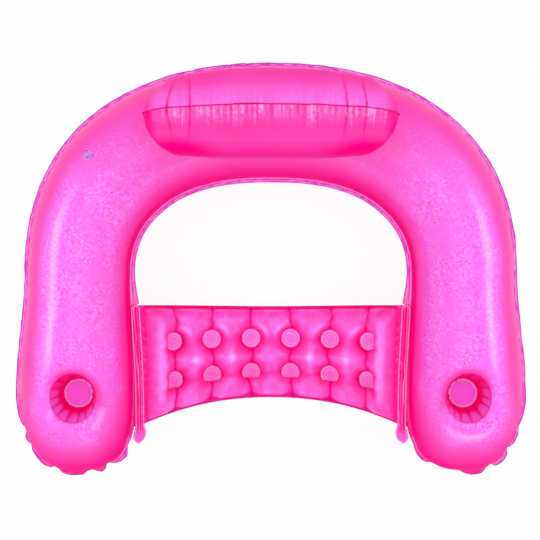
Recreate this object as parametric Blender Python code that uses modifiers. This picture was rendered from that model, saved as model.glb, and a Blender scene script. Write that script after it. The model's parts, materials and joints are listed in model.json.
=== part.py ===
"""Inflatable pool lounger, blown up: a U-shaped tube, a pillow on its back, a quilted
seat between its arms, two can holders and one push-in valve for each air chamber.

Metres, +Z up, standing on z = 0. +Y is the pillow's side, -Y the open side, and the
lounger is the same on both sides of x = 0 apart from its valves. Every chamber is two
vinyl sheets that meet in a weld flange, so each sheet is a thin open shell.
"""

import math

import bmesh
import bpy
from mathutils import Matrix, Vector

MM = 0.001
RIGHT = 1
LEFT = -1
UP = 1
DOWN = -1

# Vinyl sheet, and the clearance between pieces that touch
SHEET = 0.3 * MM
CLEARANCE = 0.3 * MM
TUBE_FLANGE = 14 * MM
CUTTER_OVERRUN = 20 * MM

# Tube in plan: a superellipse arch at the back, two arms and their rounded tips
ARCH_HALF_WIDTH = 501 * MM
ARCH_RISE = 409 * MM
ARCH_POWER_SHARE = 2.35
ARM_LENGTH = 279 * MM
ARM_SPLAY = 6.5 * MM
TIP_LENGTH = 222 * MM
TIP_OUTER_POWER_SHARE = 2.15
TIP_INNER_POWER_SHARE = 3.0

# Tube in section: half widths along the U, and the depth of its underside
BACK_RADIUS = 143 * MM
ARM_RADIUS = 131 * MM
TIP_RADIUS = 146 * MM
NARROWING_START_SHARE = 0.5
UNDERSIDE_DEPTH = 146 * MM
FLOOR_FLAT_DEPTH = 0.5 * MM

# Puckers of the flange round each arm tip
TIP_PUCKERS = 5
PUCKER_DEPTH = 8 * MM

# Pillow: a bolster on the crown of the back tube
PILLOW_HALF_LENGTH = 300 * MM
PILLOW_REAR_DEPTH = 96.5 * MM
PILLOW_FRONT_DEPTH = 117 * MM
PILLOW_HEIGHT = 198 * MM
PILLOW_SINK = 7 * MM
PILLOW_FLANGE = 9 * MM
PILLOW_CENTRE_SHARE = 0.47
PILLOW_LAND_MARGIN = 45 * MM
PILLOW_BOW = 15 * MM
PILLOW_TAPER_SHARE = 0.11
PILLOW_END_SHARE = 0.74
PILLOW_END_BULGE_SHARE = 1.1

# Can holders, near the arm tips
CUP_INBOARD = 17 * MM
CUP_FORWARD = 9 * MM
CUP_SINK = 14 * MM
CUP_MOUTH_RADIUS = 59 * MM
CUP_FLOOR_RADIUS = 37 * MM
CUP_DEPTH = 72 * MM
CUP_LIP = 9 * MM
CUP_FLOOR_RING = 4 * MM
CUP_FLOOR_INSET = 0.5 * MM
CUP_FLOOR_THICKNESS = 0.5 * MM
CUP_LAND = 21 * MM
CUP_DISH = 36 * MM
CUP_PLEATS = 16
CUP_PLEAT_DEPTH = 3.2 * MM
# Height down the well, radius from floor to mouth, and how deep the pleats are there
CUP_WALL_SHARES = (
    (0.0, 1.0, 0.0),
    (0.14, 0.87, 0.6),
    (0.5, 0.5, 1.0),
    (0.9, 0.1, 0.6),
    (1.0, 0.0, 0.0),
)

# Seat: a quilted panel slung between the arms
SEAT_SAG = 104 * MM
SEAT_SAG_POWER_SHARE = 3.0
SEAT_HALF_THICKNESS = 40 * MM
SEAT_REAR_SETBACK = 84 * MM
SEAT_REAR_BOW = 24 * MM
SEAT_MIDDLE_LENGTH = 244 * MM
SEAT_FRONT_FLARE = 62 * MM
SEAT_FRONT_LIFT = 26 * MM
SEAT_EDGE_FLANGE = 5 * MM
SEAT_END_WELD = 27 * MM
SEAT_LAND = 12 * MM
SEAT_LAND_MARGIN = 2 * MM
SEAT_EDGE_ROLL = 45 * MM
SEAT_CREASE_SHARE = 0.6
SEAT_LOBE_SHARE = 0.75
SPOT_RADIUS = 23 * MM
SPOT_PITCH = 108 * MM
SPOT_COLUMNS = 6
SPOT_ROW_SHARES = (0.344, 0.725)
SPOT_SHOULDER = 34 * MM
SPOT_DRAW_SHARE = 1.5
STRIP_REAR_OVERHANG = 4 * MM
STRIP_FRONT_OVERHANG = 60 * MM
STRIP_WIDTH = 17 * MM
STRIP_BLUNT_SHARE = 0.35

# Valves: a base on the sheet, a stem that pushes in, its plug and its inner flap
VALVE_BASE_RADIUS = 12.5 * MM
VALVE_BASE_THICKNESS = 0.8 * MM
VALVE_COLLAR_WALL = 1.0 * MM
VALVE_COLLAR_DEPTH = 16 * MM
STEM_RADIUS = 6.4 * MM
STEM_BORE = 3.8 * MM
STEM_RIM_RADIUS = 8.6 * MM
STEM_RIM_THICKNESS = 0.9 * MM
STEM_TAIL = 2 * MM
PLUG_CAP_RADIUS = 8.0 * MM
PLUG_CAP_THICKNESS = 1.4 * MM
PLUG_CAP_ROUND = 0.5 * MM
PLUG_SHANK = 9 * MM
PLUG_TAPER = 0.5 * MM
FLAP_RADIUS = 5.6 * MM
FLAP_THICKNESS = 0.5 * MM
TETHER_WIDTH = 3.0 * MM
TETHER_THICKNESS = 0.8 * MM
TETHER_REACH = 6.0 * MM

# Where the valves are: the tube's by its place round the U and up its section
TUBE_VALVE_STATION_SHARE = 0.58
TUBE_VALVE_RISE_DEGREES = 62
PILLOW_VALVE_ACROSS_SHARE = 0.42
SEAT_VALVE_ACROSS_SHARE = 0.855
SEAT_VALVE_ALONG_SHARE = 0.535

# Facets
ARCH_STEPS = 13
ARM_STEPS = 6
TIP_STEPS = 20
UPPER_ROWS = 5
LOWER_ROWS = 4
PILLOW_SIDE_STEPS = 8
PILLOW_END_STEPS = 10
PILLOW_ROWS = 5
BAY_STEPS = 6
END_BAY_STEPS = 4
END_WELD_STEPS = 1
SEAT_ROW_STEPS = (4, 4, 3)
SLOPE_SAMPLES = 60
TURN_STEPS = 16
STRIP_STEPS = 24
TETHER_STEPS = 8
FINE_EDGE = 21 * MM
MERGE_DISTANCE = 0.01 * MM

# Worked out from the sizes above
SEAM_LIFT = CLEARANCE / 2 + SHEET
EQUATOR = UNDERSIDE_DEPTH
TUBE_LENGTH = (
    TUBE_FLANGE + TIP_LENGTH + ARM_LENGTH + ARCH_RISE + BACK_RADIUS + TUBE_FLANGE
)
ARCH_FOOT_Y = TUBE_LENGTH / 2 - (TUBE_FLANGE + BACK_RADIUS + ARCH_RISE)
ARM_END = Vector((ARCH_HALF_WIDTH + ARM_SPLAY, ARCH_FOOT_Y - ARM_LENGTH, 0))
PILLOW_FLOOR = EQUATOR + BACK_RADIUS - PILLOW_SINK
PILLOW_Y = ARCH_FOOT_Y + ARCH_RISE
PILLOW_SPINE = PILLOW_HALF_LENGTH - PILLOW_HEIGHT / 2
CUP_X = ARM_END.x - CUP_INBOARD
CUP_Y = ARM_END.y - CUP_FORWARD
CUP_RIM_Z = EQUATOR + TIP_RADIUS - CUP_SINK
CUP_LAND_RADIUS = CUP_MOUTH_RADIUS + CUP_LAND
SEAT_EDGE_DROP = 2 * SEAM_LIFT + CLEARANCE
COLLAR_BORE = STEM_RADIUS + CLEARANCE
COLLAR_RADIUS = COLLAR_BORE + VALVE_COLLAR_WALL


def material(name, colour, roughness, alpha=1.0):
    """A glossy or clear vinyl."""
    made = bpy.data.materials.new(name)
    made.use_nodes = True
    shader = made.node_tree.nodes["Principled BSDF"]
    shader.inputs["Base Color"].default_value = (*colour, 1)
    shader.inputs["Roughness"].default_value = roughness
    shader.inputs["Metallic"].default_value = 0
    shader.inputs["Alpha"].default_value = alpha
    return made


def smooth_step(share):
    """0 to 1 with level ends."""
    share = min(1.0, max(0.0, share))
    return share * share * (3 - 2 * share)


def blend(start, end, share):
    """The value that lies a share of the way from start to end."""
    return start + (end - start) * share


def between(index, knots, values):
    """The value at a whole or part index, from values at knots."""
    for low, high, start, end in zip(knots, knots[1:], values, values[1:]):
        if index <= high:
            return blend(start, end, (index - low) / (high - low))
    return values[-1]


def placed(name, mesh, collection, finish):
    """A smooth-shaded object for a mesh, in its collection and with its material."""
    made = bpy.data.objects.new(name, mesh)
    collection.objects.link(made)
    if finish:
        mesh.materials.append(finish)
    mesh.shade_smooth()
    mesh.set_sharp_from_angle(angle=math.radians(40))
    return made


def grid_of(columns, rows):
    """A grid primitive whose corners lie at their counts of columns and rows."""
    sheet = bmesh.new()
    bmesh.ops.create_grid(sheet, x_segments=columns, y_segments=rows, size=1)
    for corner in sheet.verts:
        corner.co.x = round((corner.co.x + 1) / 2 * columns)
        corner.co.y = round((corner.co.y + 1) / 2 * rows)
    return sheet


def refine(sheet, point, centre, reach, longest):
    """Halve the edges near centre, in plan, until none there is over the longest."""
    for _ in range(3):
        long_edges = []
        for edge in sheet.edges:
            start, end = (point(corner.co.x, corner.co.y) for corner in edge.verts)
            near = ((start + end) / 2 - centre).xy.length < reach
            if near and (end - start).length > longest:
                long_edges.append(edge)
        if long_edges:
            bmesh.ops.subdivide_edges(sheet, edges=long_edges, cuts=1, use_grid_fill=True)


def bend(sheet, point):
    """Move a grid's corners from their counts to their places, and merge those that meet."""
    for corner in sheet.verts:
        corner.co = point(corner.co.x, corner.co.y)
    bmesh.ops.remove_doubles(sheet, verts=sheet.verts, dist=MERGE_DISTANCE)


def split_outwards(sheet, side):
    """Split a sheet's quads along the diagonal that stands out more, as if blown up."""
    for face in sheet.faces[:]:
        if len(face.verts) == 4:
            first, second, third, fourth = face.verts
            rise = (first.co + third.co - second.co - fourth.co).z * side
            ends = (first, third) if rise > 0 else (second, fourth)
            bmesh.utils.face_split(face, *ends)


def add_mirrored(sheet):
    """Add the other half of a sheet that is open at x = 0."""
    copied = bmesh.ops.duplicate(sheet, geom=sheet.verts[:] + sheet.edges[:] + sheet.faces[:])
    corners = [part for part in copied["geom"] if isinstance(part, bmesh.types.BMVert)]
    faces = [part for part in copied["geom"] if isinstance(part, bmesh.types.BMFace)]
    bmesh.ops.scale(sheet, vec=(-1, 1, 1), verts=corners)
    bmesh.ops.reverse_faces(sheet, faces=faces)
    bmesh.ops.remove_doubles(sheet, verts=sheet.verts, dist=MERGE_DISTANCE)


def face_outwards(sheet, outward):
    """Turn a sheet's faces so that they point along outward on the whole."""
    bmesh.ops.recalc_face_normals(sheet, faces=sheet.faces)
    total = sum((face.normal * face.calc_area() for face in sheet.faces), Vector())
    if total.dot(outward) < 0:
        bmesh.ops.reverse_faces(sheet, faces=sheet.faces)


def sheet_object(name, sheet, outward, collection, finish):
    """A sheet as an object, with its thickness added on the inner side."""
    face_outwards(sheet, outward)
    mesh = bpy.data.meshes.new(name)
    sheet.to_mesh(mesh)
    sheet.free()
    made = placed(name, mesh, collection, finish)
    wall = made.modifiers.new("Wall", "SOLIDIFY")
    wall.thickness = SHEET
    wall.offset = -1
    return made


def cut(target, cutter):
    """Take a cutter's volume out of an object."""
    made = target.modifiers.new(cutter.name, "BOOLEAN")
    made.operation = "DIFFERENCE"
    made.solver = "EXACT"
    made.object = cutter


def round_cutter(name, radius, reach, steps, collection):
    """A cylinder that stands for a round hole, centred on its object's origin."""
    form = bmesh.new()
    bmesh.ops.create_cone(
        form,
        cap_ends=True,
        segments=steps,
        radius1=radius,
        radius2=radius,
        depth=2 * reach,
    )
    mesh = bpy.data.meshes.new(name)
    form.to_mesh(mesh)
    form.free()
    made = bpy.data.objects.new(name, mesh)
    collection.objects.link(made)
    made.hide_render = True
    made.display_type = "WIRE"
    return made


# The tube


def tube_section(station):
    """Centre, outward direction and half width at a station along half the U: 0 is the
    middle of the back, 1 the arch's foot and 2 the arm's end."""
    if station <= 1:
        turn = station * math.pi / 2
        across = math.sin(turn) ** (2 / ARCH_POWER_SHARE)
        along = max(0.0, math.cos(turn)) ** (2 / ARCH_POWER_SHARE)
        centre = Vector((ARCH_HALF_WIDTH * across, ARCH_FOOT_Y + ARCH_RISE * along, 0))
        steepness = ARCH_POWER_SHARE - 1
        outward = Vector(
            (across**steepness / ARCH_HALF_WIDTH, along**steepness / ARCH_RISE, 0)
        )
        narrowing = (station - NARROWING_START_SHARE) / (1 - NARROWING_START_SHARE)
        radius = blend(BACK_RADIUS, ARM_RADIUS, smooth_step(narrowing))
    else:
        down = station - 1
        splay = ARM_SPLAY * smooth_step(down)
        slope = ARM_SPLAY * 6 * down * (1 - down) / ARM_LENGTH
        centre = Vector((ARCH_HALF_WIDTH + splay, ARCH_FOOT_Y - ARM_LENGTH * down, 0))
        outward = Vector((1, slope, 0))
        radius = blend(ARM_RADIUS, TIP_RADIUS, smooth_step(down))
    return centre, outward.normalized(), radius


def tube_ray(place):
    """Centre, direction, reach, height and flange width at a place round half the tube's
    outline: 0 to 2 the outer side, 2 to 3 the tip, and 3 to 5 the inner side."""
    if 2 < place < 3:
        turn = (place - 2) * math.pi
        across = abs(math.cos(turn)) / TIP_RADIUS
        along = math.sin(turn) / TIP_LENGTH
        power = TIP_OUTER_POWER_SHARE if place < 2.5 else TIP_INNER_POWER_SHARE
        reach = (across**power + along**power) ** (-1 / power)
        pucker = (1 + math.cos(2 * math.pi * TIP_PUCKERS * (place - 2.5))) / 2
        flange = TUBE_FLANGE - PUCKER_DEPTH * (1 - pucker) * math.sin(turn)
        direction = Vector((math.cos(turn), -math.sin(turn), 0))
        return ARM_END, direction, reach, TIP_RADIUS, flange
    side = 1 if place <= 2 else -1
    centre, outward, radius = tube_section(place if side > 0 else 5 - place)
    return centre, outward * side, radius, radius, TUBE_FLANGE


def dressed_top(spot):
    """Lower the tube's top to the pillow's seat, and dish it round the can holder."""
    if spot.x < PILLOW_HALF_LENGTH + PILLOW_LAND_MARGIN and spot.y > 0:
        spot.z = min(spot.z, PILLOW_FLOOR)
    far = (spot - Vector((CUP_X, CUP_Y, spot.z))).length - CUP_LAND_RADIUS
    if far < CUP_DISH:
        spot.z = blend(CUP_RIM_Z, spot.z, smooth_step(far / CUP_DISH))
    return spot


def tube_outline_knots():
    """Column counts and places at the ends of the arch, the arm and the tip."""
    counts = (ARCH_STEPS, ARM_STEPS, TIP_STEPS, ARM_STEPS, ARCH_STEPS)
    knots = [sum(counts[:n]) for n in range(len(counts) + 1)]
    return knots, list(range(len(knots)))


def tube_point(column, row, side, rows):
    """A corner of a tube sheet: row 0 is the flange's edge, 1 the weld and the last the
    crown or the underside's middle."""
    place = between(column, *tube_outline_knots())
    centre, outward, reach, depth, flange = tube_ray(place)
    if row <= 1:
        edge = centre + outward * (reach + flange * (1 - row))
        return edge + Vector((0, 0, EQUATOR + side * SEAM_LIFT))
    share = (row - 1) / rows
    if side == UP:
        turn = share * math.pi / 2
        rise = math.sin(turn)
    else:
        depth = UNDERSIDE_DEPTH
        flat_turn = math.asin(depth / (depth + FLOOR_FLAT_DEPTH))
        turn = between(share * rows, (0, rows - 1, rows), (0, flat_turn, math.pi / 2))
        rise = min(1.0, math.sin(turn) * (depth + FLOOR_FLAT_DEPTH) / depth)
    height = SEAM_LIFT + (depth - SEAM_LIFT) * rise
    spot = centre + outward * (reach * math.cos(turn))
    spot.z = EQUATOR + side * height
    return dressed_top(spot) if side == UP and rise > 0 else spot


def tube_sheet(name, side, collection, finish):
    """Half of the tube, split at its equator: bent from a grid, mirrored and walled."""
    rows = UPPER_ROWS if side == UP else LOWER_ROWS + 1

    def point(column, row):
        return tube_point(column, row, side, rows)

    sheet = grid_of(tube_outline_knots()[0][-1], rows + 1)
    if side == UP:
        centre = Vector((CUP_X, CUP_Y, CUP_RIM_Z))
        refine(sheet, point, centre, CUP_LAND_RADIUS + CUP_DISH, FINE_EDGE)
    bend(sheet, point)
    add_mirrored(sheet)
    return sheet_object(name, sheet, Vector((0, 0, side)), collection, finish)


# The pillow


def pillow_ray(place):
    """Centre, direction and reach at a place round the pillow's upright outline, from 0
    to 4: the top, the right end, the bottom and the left end."""
    half_height = PILLOW_HEIGHT / 2
    leg = int(place) % 4
    share = place - int(place)
    if leg in (0, 2):
        run = (2 * share - 1) * (1 if leg == 0 else -1)
        return Vector((PILLOW_SPINE * run, 0, 0)), Vector((0, 0, 1 - leg)), half_height
    right = leg == 1
    turn = math.pi * share
    direction = Vector((math.sin(turn), 0, math.cos(turn))) * (1 if right else -1)
    across = abs(direction.x) ** (2 / PILLOW_END_SHARE)
    upward = abs(direction.z) ** (2 / PILLOW_END_SHARE)
    reach = half_height * (across + upward) ** (-PILLOW_END_SHARE / 2)
    return Vector((PILLOW_SPINE if right else -PILLOW_SPINE, 0, 0)), direction, reach


def pillow_point(column, row, side):
    """A corner of a pillow sheet: side is UP for the rear sheet and DOWN for the front
    one, row 0 is the flange's edge, 1 the weld and the last the sheet's middle."""
    legs = (PILLOW_SIDE_STEPS, PILLOW_END_STEPS, PILLOW_SIDE_STEPS, PILLOW_END_STEPS)
    knots = [sum(legs[:n]) for n in range(len(legs) + 1)]
    centre, direction, reach = pillow_ray(between(column, knots, range(len(knots))))
    turn = max(0.0, row - 1) / PILLOW_ROWS * math.pi / 2
    bulge = blend(1, PILLOW_END_BULGE_SHARE, abs(direction.x))
    middle = PILLOW_FLOOR + PILLOW_HEIGHT * PILLOW_CENTRE_SHARE
    lowest = PILLOW_FLOOR + CLEARANCE
    free_edge = middle + (centre + direction * reach).z > lowest
    out = max(0.0, math.cos(turn)) ** bulge * reach
    if free_edge:
        out += PILLOW_FLANGE * max(0.0, 1 - row)
    depth = PILLOW_REAR_DEPTH if side == UP else PILLOW_FRONT_DEPTH
    depth *= 1 - PILLOW_TAPER_SHARE * abs(centre.x / PILLOW_SPINE) ** 3
    thick = SEAM_LIFT + (depth - SEAM_LIFT) * math.sin(turn) ** bulge
    spot = centre + direction * out
    bowed = PILLOW_Y + PILLOW_BOW * (0.5 - (spot.x / PILLOW_HALF_LENGTH) ** 2)
    return Vector((spot.x, bowed + side * thick, max(lowest, middle + spot.z)))


def pillow_sheet(name, side, collection, finish):
    """One of the pillow's two sheets, which meet in an upright weld along its length."""
    columns = 2 * (PILLOW_SIDE_STEPS + PILLOW_END_STEPS)

    def point(column, row):
        return pillow_point(column, row, side)

    sheet = grid_of(columns, PILLOW_ROWS + 1)
    bend(sheet, point)
    return sheet_object(name, sheet, Vector((0, side, 0)), collection, finish)


# The seat


def seat_fold(y):
    """How far from x = 0 the seat's end folds on to the flange of the arm."""
    down = (ARCH_FOOT_Y - max(y, ARM_END.y)) / ARM_LENGTH
    centre, _, radius = tube_section(1 + down)
    return centre.x - radius - SEAT_LAND - SEAT_LAND_MARGIN


def seat_edges(across):
    """The seat's rear and front edges, at a share of its half width."""
    rear = ARCH_FOOT_Y - SEAT_REAR_SETBACK
    front = rear - SEAT_MIDDLE_LENGTH
    return rear + SEAT_REAR_BOW * across**2, front - SEAT_FRONT_FLARE * across**2


def seat_middle(across, along):
    """A point midway between the seat's sheets: across is 0 to 1 from the middle to the
    fold at the arm and more on the land beyond, along is 0 at the rear and 1 in front."""
    reach = min(1.0, across)
    rear, front = seat_edges(reach)
    y = blend(rear, front, along)
    sag = SEAT_SAG * (1 - reach**SEAT_SAG_POWER_SHARE)
    past_spots = (along - SPOT_ROW_SHARES[-1]) / (1 - SPOT_ROW_SHARES[-1])
    lift = SEAT_FRONT_LIFT * smooth_step(past_spots) * (1 - reach**2)
    return Vector((across * seat_fold(y), y, EQUATOR - SEAT_EDGE_DROP - sag + lift))


def seat_slope():
    """Shares across the seat, and how far each is from its middle along the slope."""
    shares = [count / SLOPE_SAMPLES for count in range(SLOPE_SAMPLES + 1)]
    spots = [seat_middle(share, SPOT_ROW_SHARES[0]) for share in shares]
    runs = [0.0]
    for start, end in zip(spots, spots[1:]):
        runs.append(runs[-1] + (end - start).length)
    return shares, runs


SEAT_SHARES, SEAT_RUNS = seat_slope()
SEAT_COLUMN_RUNS = [(count + 0.5) * SPOT_PITCH for count in range(SPOT_COLUMNS // 2)]
SEAT_CHAMBER_RUN = SEAT_RUNS[-1] - SEAT_END_WELD
SEAT_LAND_RUN = SEAT_RUNS[-1] + SEAT_LAND


def seat_across(run):
    """The share across the seat at a distance along its slope from the middle."""
    past_fold = max(0.0, run - SEAT_RUNS[-1])
    return between(run, SEAT_RUNS, SEAT_SHARES) + past_fold / seat_fold(ARM_END.y)


def seat_up(run, along):
    """The seat's upward direction at a point."""
    step = SPOT_RADIUS / 4
    share_step = step / SEAT_MIDDLE_LENGTH
    left = seat_middle(seat_across(max(0.0, run - step)), along)
    right = seat_middle(seat_across(run + step), along)
    back = seat_middle(seat_across(run), along - share_step)
    front = seat_middle(seat_across(run), along + share_step)
    up = (right - left).cross(back - front).normalized()
    return Vector((0, up.y, up.z)).normalized() if run < step / 4 else up


def round_rise(share):
    """A quarter circle's height: 0 to 1, steep at first and level at the end."""
    return math.sqrt(1 - (1 - min(1.0, max(0.0, share))) ** 2)


def to_spot_edge(run, along):
    """Draw a point near a weld spot on to the spot's edge, so that the spot is round."""
    rear, front = seat_edges(min(1.0, seat_across(run)))
    length = rear - front
    for column in SEAT_COLUMN_RUNS:
        for row in SPOT_ROW_SHARES:
            offset = Vector((run - column, (along - row) * length))
            if SPOT_RADIUS / 2 < offset.length < SPOT_RADIUS * SPOT_DRAW_SHARE:
                offset *= SPOT_RADIUS / offset.length
                return column + offset.x, row + offset.y / length
    return run, along


def seat_puff(run, along):
    """How far the seat is blown up at a point: 0 on its welds and up to 1."""
    if run >= SEAT_CHAMBER_RUN or not 0 < along < 1:
        return 0.0
    rear, front = seat_edges(min(1.0, seat_across(run)))
    length = rear - front
    edge = round_rise(min(along, 1 - along) * length / SEAT_EDGE_ROLL)
    off_rows = min(abs(along - row) * length for row in SPOT_ROW_SHARES)
    off_column = min(abs(run - column) for column in SEAT_COLUMN_RUNS)
    off_spot = max(0.0, math.hypot(off_column, off_rows) - SPOT_RADIUS)
    borders = [-SEAT_COLUMN_RUNS[0], *SEAT_COLUMN_RUNS, SEAT_CHAMBER_RUN]
    bay = sum(run > border for border in borders[1:])
    place = (run - borders[bay]) / (borders[bay + 1] - borders[bay])
    lobe = max(0.0, math.sin(math.pi * place)) ** SEAT_LOBE_SHARE
    crease = SEAT_CREASE_SHARE * round_rise((off_rows - SPOT_RADIUS) / SPOT_RADIUS)
    if bay == len(SEAT_COLUMN_RUNS) and place > 0.5:
        crease = 0.0
    return edge * (crease + (1 - crease) * lobe) * smooth_step(off_spot / SPOT_SHOULDER)


def seat_point(column, row, side):
    """A corner of a seat sheet: columns go from the middle to the land on the arm, and
    rows from the rear flange's edge to the front one's."""
    bays = len(SEAT_COLUMN_RUNS)
    counts = [BAY_STEPS / 2, *[BAY_STEPS] * (bays - 1), END_BAY_STEPS, END_WELD_STEPS, 1]
    knots = [sum(counts[:n]) for n in range(len(counts) + 1)]
    runs = [0, *SEAT_COLUMN_RUNS, SEAT_CHAMBER_RUN, SEAT_RUNS[-1], SEAT_LAND_RUN]
    rows = [sum(SEAT_ROW_STEPS[:n]) + 1 for n in range(len(SEAT_ROW_STEPS) + 1)]
    run = between(column, knots, runs)
    along = between(row, rows, [0, *SPOT_ROW_SHARES, 1]) if row >= 1 else 0.0
    run, along = to_spot_edge(run, along)
    half = SEAM_LIFT + (SEAT_HALF_THICKNESS - SEAM_LIFT) * seat_puff(run, along)
    spot = seat_middle(seat_across(run), along)
    if run > 0 or along not in (0, 1):
        spot = spot + seat_up(run, along) * side * half
    else:
        spot.z += side * half
    if run == 0:
        spot.x = 0
    if row < 1:
        spot.y += SEAT_EDGE_FLANGE
    if row > rows[-1]:
        spot.y -= SEAT_EDGE_FLANGE
    return spot


def seat_sheet(name, side, collection, finish):
    """One of the seat's two sheets, which meet at its edges and its weld spots."""
    whole_bays = BAY_STEPS * (len(SEAT_COLUMN_RUNS) - 1)
    columns = BAY_STEPS // 2 + whole_bays + END_BAY_STEPS + END_WELD_STEPS + 1

    def point(column, row):
        return seat_point(column, row, side)

    sheet = grid_of(columns, sum(SEAT_ROW_STEPS) + 2)
    bend(sheet, point)
    split_outwards(sheet, side)
    add_mirrored(sheet)
    return sheet_object(name, sheet, Vector((0, 0, side)), collection, finish)


def above_end_weld(run, along, lift):
    """A point above the seat's end weld, which is straight from the chamber to the fold."""
    share = (run - SEAT_CHAMBER_RUN) / SEAT_END_WELD
    inner = seat_middle(seat_across(SEAT_CHAMBER_RUN), along)
    outer = seat_middle(seat_across(SEAT_RUNS[-1]), along)
    up = Vector((inner.z - outer.z, 0, outer.x - inner.x)).normalized()
    return blend(inner, outer, share) + up * lift


def end_strip(name, hand, collection, finish):
    """A strip with round ends, welded over the end of the seat."""
    middle_run = SEAT_RUNS[-1] - SEAT_END_WELD / 2
    rear, front = seat_edges(1)
    length = rear - front
    start = -STRIP_REAR_OVERHANG / length
    end = 1 + STRIP_FRONT_OVERHANG / length
    round_share = STRIP_WIDTH / 2 / (length * (end - start))

    def point(column, row):
        share = column / STRIP_STEPS
        from_end = min(share, 1 - share) / round_share
        half_width = STRIP_WIDTH / 2 * max(STRIP_BLUNT_SHARE, round_rise(from_end))
        run = middle_run + half_width * (row - 1)
        along = blend(start, end, share)
        spot = above_end_weld(run, along, SEAM_LIFT + CLEARANCE + SHEET)
        return Vector((hand * spot.x, spot.y, spot.z))

    sheet = grid_of(STRIP_STEPS, 2)
    bend(sheet, point)
    return sheet_object(name, sheet, Vector((0, 0, 1)), collection, finish)


# The can holders


def cup_wall(name, hand, collection, finish):
    """A tapered, pleated well, whose lip is welded under the tube's sheet."""
    columns = 2 * CUP_PLEATS
    last = len(CUP_WALL_SHARES)
    top = CUP_RIM_Z - SHEET - CLEARANCE

    def point(column, row):
        down, wide, pleated = CUP_WALL_SHARES[int(min(max(row - 1, 0), last - 1))]
        radius = blend(CUP_FLOOR_RADIUS, CUP_MOUTH_RADIUS, wide)
        radius -= CUP_PLEAT_DEPTH * pleated * (column % 2)
        if row < 1:
            radius += CUP_LIP
        if row > last:
            radius -= CUP_FLOOR_RING
        turn = 2 * math.pi * column / columns
        x = hand * CUP_X + radius * math.cos(turn)
        return Vector((x, CUP_Y + radius * math.sin(turn), top - CUP_DEPTH * down))

    sheet = grid_of(columns, last + 1)
    bend(sheet, point)
    return sheet_object(name, sheet, Vector((0, 0, 1)), collection, finish)


def cup_floor(name, hand, collection, finish):
    """The round floor, welded on to the ring at the foot of the well."""
    form = bmesh.new()
    radius = CUP_FLOOR_RADIUS - CUP_FLOOR_INSET
    bmesh.ops.create_cone(
        form,
        cap_ends=True,
        segments=2 * CUP_PLEATS,
        radius1=radius,
        radius2=radius,
        depth=CUP_FLOOR_THICKNESS,
    )
    mesh = bpy.data.meshes.new(name)
    form.to_mesh(mesh)
    form.free()
    made = placed(name, mesh, collection, finish)
    foot = CUP_RIM_Z - SHEET - CUP_DEPTH
    made.location = (hand * CUP_X, CUP_Y, foot + CUP_FLOOR_THICKNESS / 2)
    return made


# The valves, each in a frame whose z = 0 is the foot of its base and whose +Z is outwards


def facet_frame(sheet, target):
    """A frame on the facet of a sheet that is nearest to target, one clearance above it."""
    mesh = sheet.data
    facet = min(mesh.polygons, key=lambda each: (each.center - target).length)
    corners = [mesh.vertices[index].co for index in facet.vertices]
    highest = max((corner - facet.center).dot(facet.normal) for corner in corners)
    across = Vector((1, 0, 0)) - facet.normal * facet.normal.x
    across.normalize()
    along = facet.normal.cross(across)
    frame = Matrix((across, along, facet.normal)).transposed().to_4x4()
    frame.translation = facet.center + facet.normal * (highest + CLEARANCE)
    return frame


def turned(name, profile, closed, collection, finish):
    """A profile of radii and heights, turned about Z."""
    count = len(profile)
    edges = [(n, n + 1) for n in range(count - 1)]
    if closed:
        edges.append((count - 1, 0))
    mesh = bpy.data.meshes.new(name)
    mesh.from_pydata([(radius, 0, height) for radius, height in profile], edges, [])
    made = placed(name, mesh, collection, finish)
    turn = made.modifiers.new("Turn", "SCREW")
    turn.steps = TURN_STEPS
    turn.render_steps = TURN_STEPS
    turn.use_merge_vertices = True
    turn.merge_threshold = MERGE_DISTANCE
    return made


def valve_tether(name, rim_middle, cap_middle, collection, finish):
    """The strap that loops out from the stem's rim and back to the plug's cap."""
    bend_radius = (cap_middle - rim_middle) / 2
    far = STEM_RIM_RADIUS + TETHER_REACH

    def point(column, row):
        if column == 0:
            x, z = STEM_RIM_RADIUS + CLEARANCE, rim_middle
        elif column == TETHER_STEPS:
            x, z = PLUG_CAP_RADIUS + CLEARANCE, cap_middle
        else:
            turn = math.pi * ((column - 1) / (TETHER_STEPS - 2) - 0.5)
            x = far - bend_radius * (1 - math.cos(turn))
            z = rim_middle + bend_radius * (1 + math.sin(turn))
        return Vector((x, TETHER_WIDTH * (row - 0.5), z))

    sheet = grid_of(TETHER_STEPS, 1)
    bend(sheet, point)
    face_outwards(sheet, Vector((1, 0, 0)))
    mesh = bpy.data.meshes.new(name)
    sheet.to_mesh(mesh)
    sheet.free()
    made = placed(name, mesh, collection, finish)
    wall = made.modifiers.new("Wall", "SOLIDIFY")
    wall.thickness = TETHER_THICKNESS
    wall.offset = 0
    return made


def valve_flap(name, collection, finish):
    """The disc that lies against the stem's inner end, with its origin on its hinge."""
    form = bmesh.new()
    bmesh.ops.create_cone(
        form,
        cap_ends=True,
        segments=TURN_STEPS,
        radius1=FLAP_RADIUS,
        radius2=FLAP_RADIUS,
        depth=FLAP_THICKNESS,
        matrix=Matrix.Translation((FLAP_RADIUS, 0, -FLAP_THICKNESS / 2)),
    )
    mesh = bpy.data.meshes.new(name)
    form.to_mesh(mesh)
    form.free()
    return placed(name, mesh, collection, finish)


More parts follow.
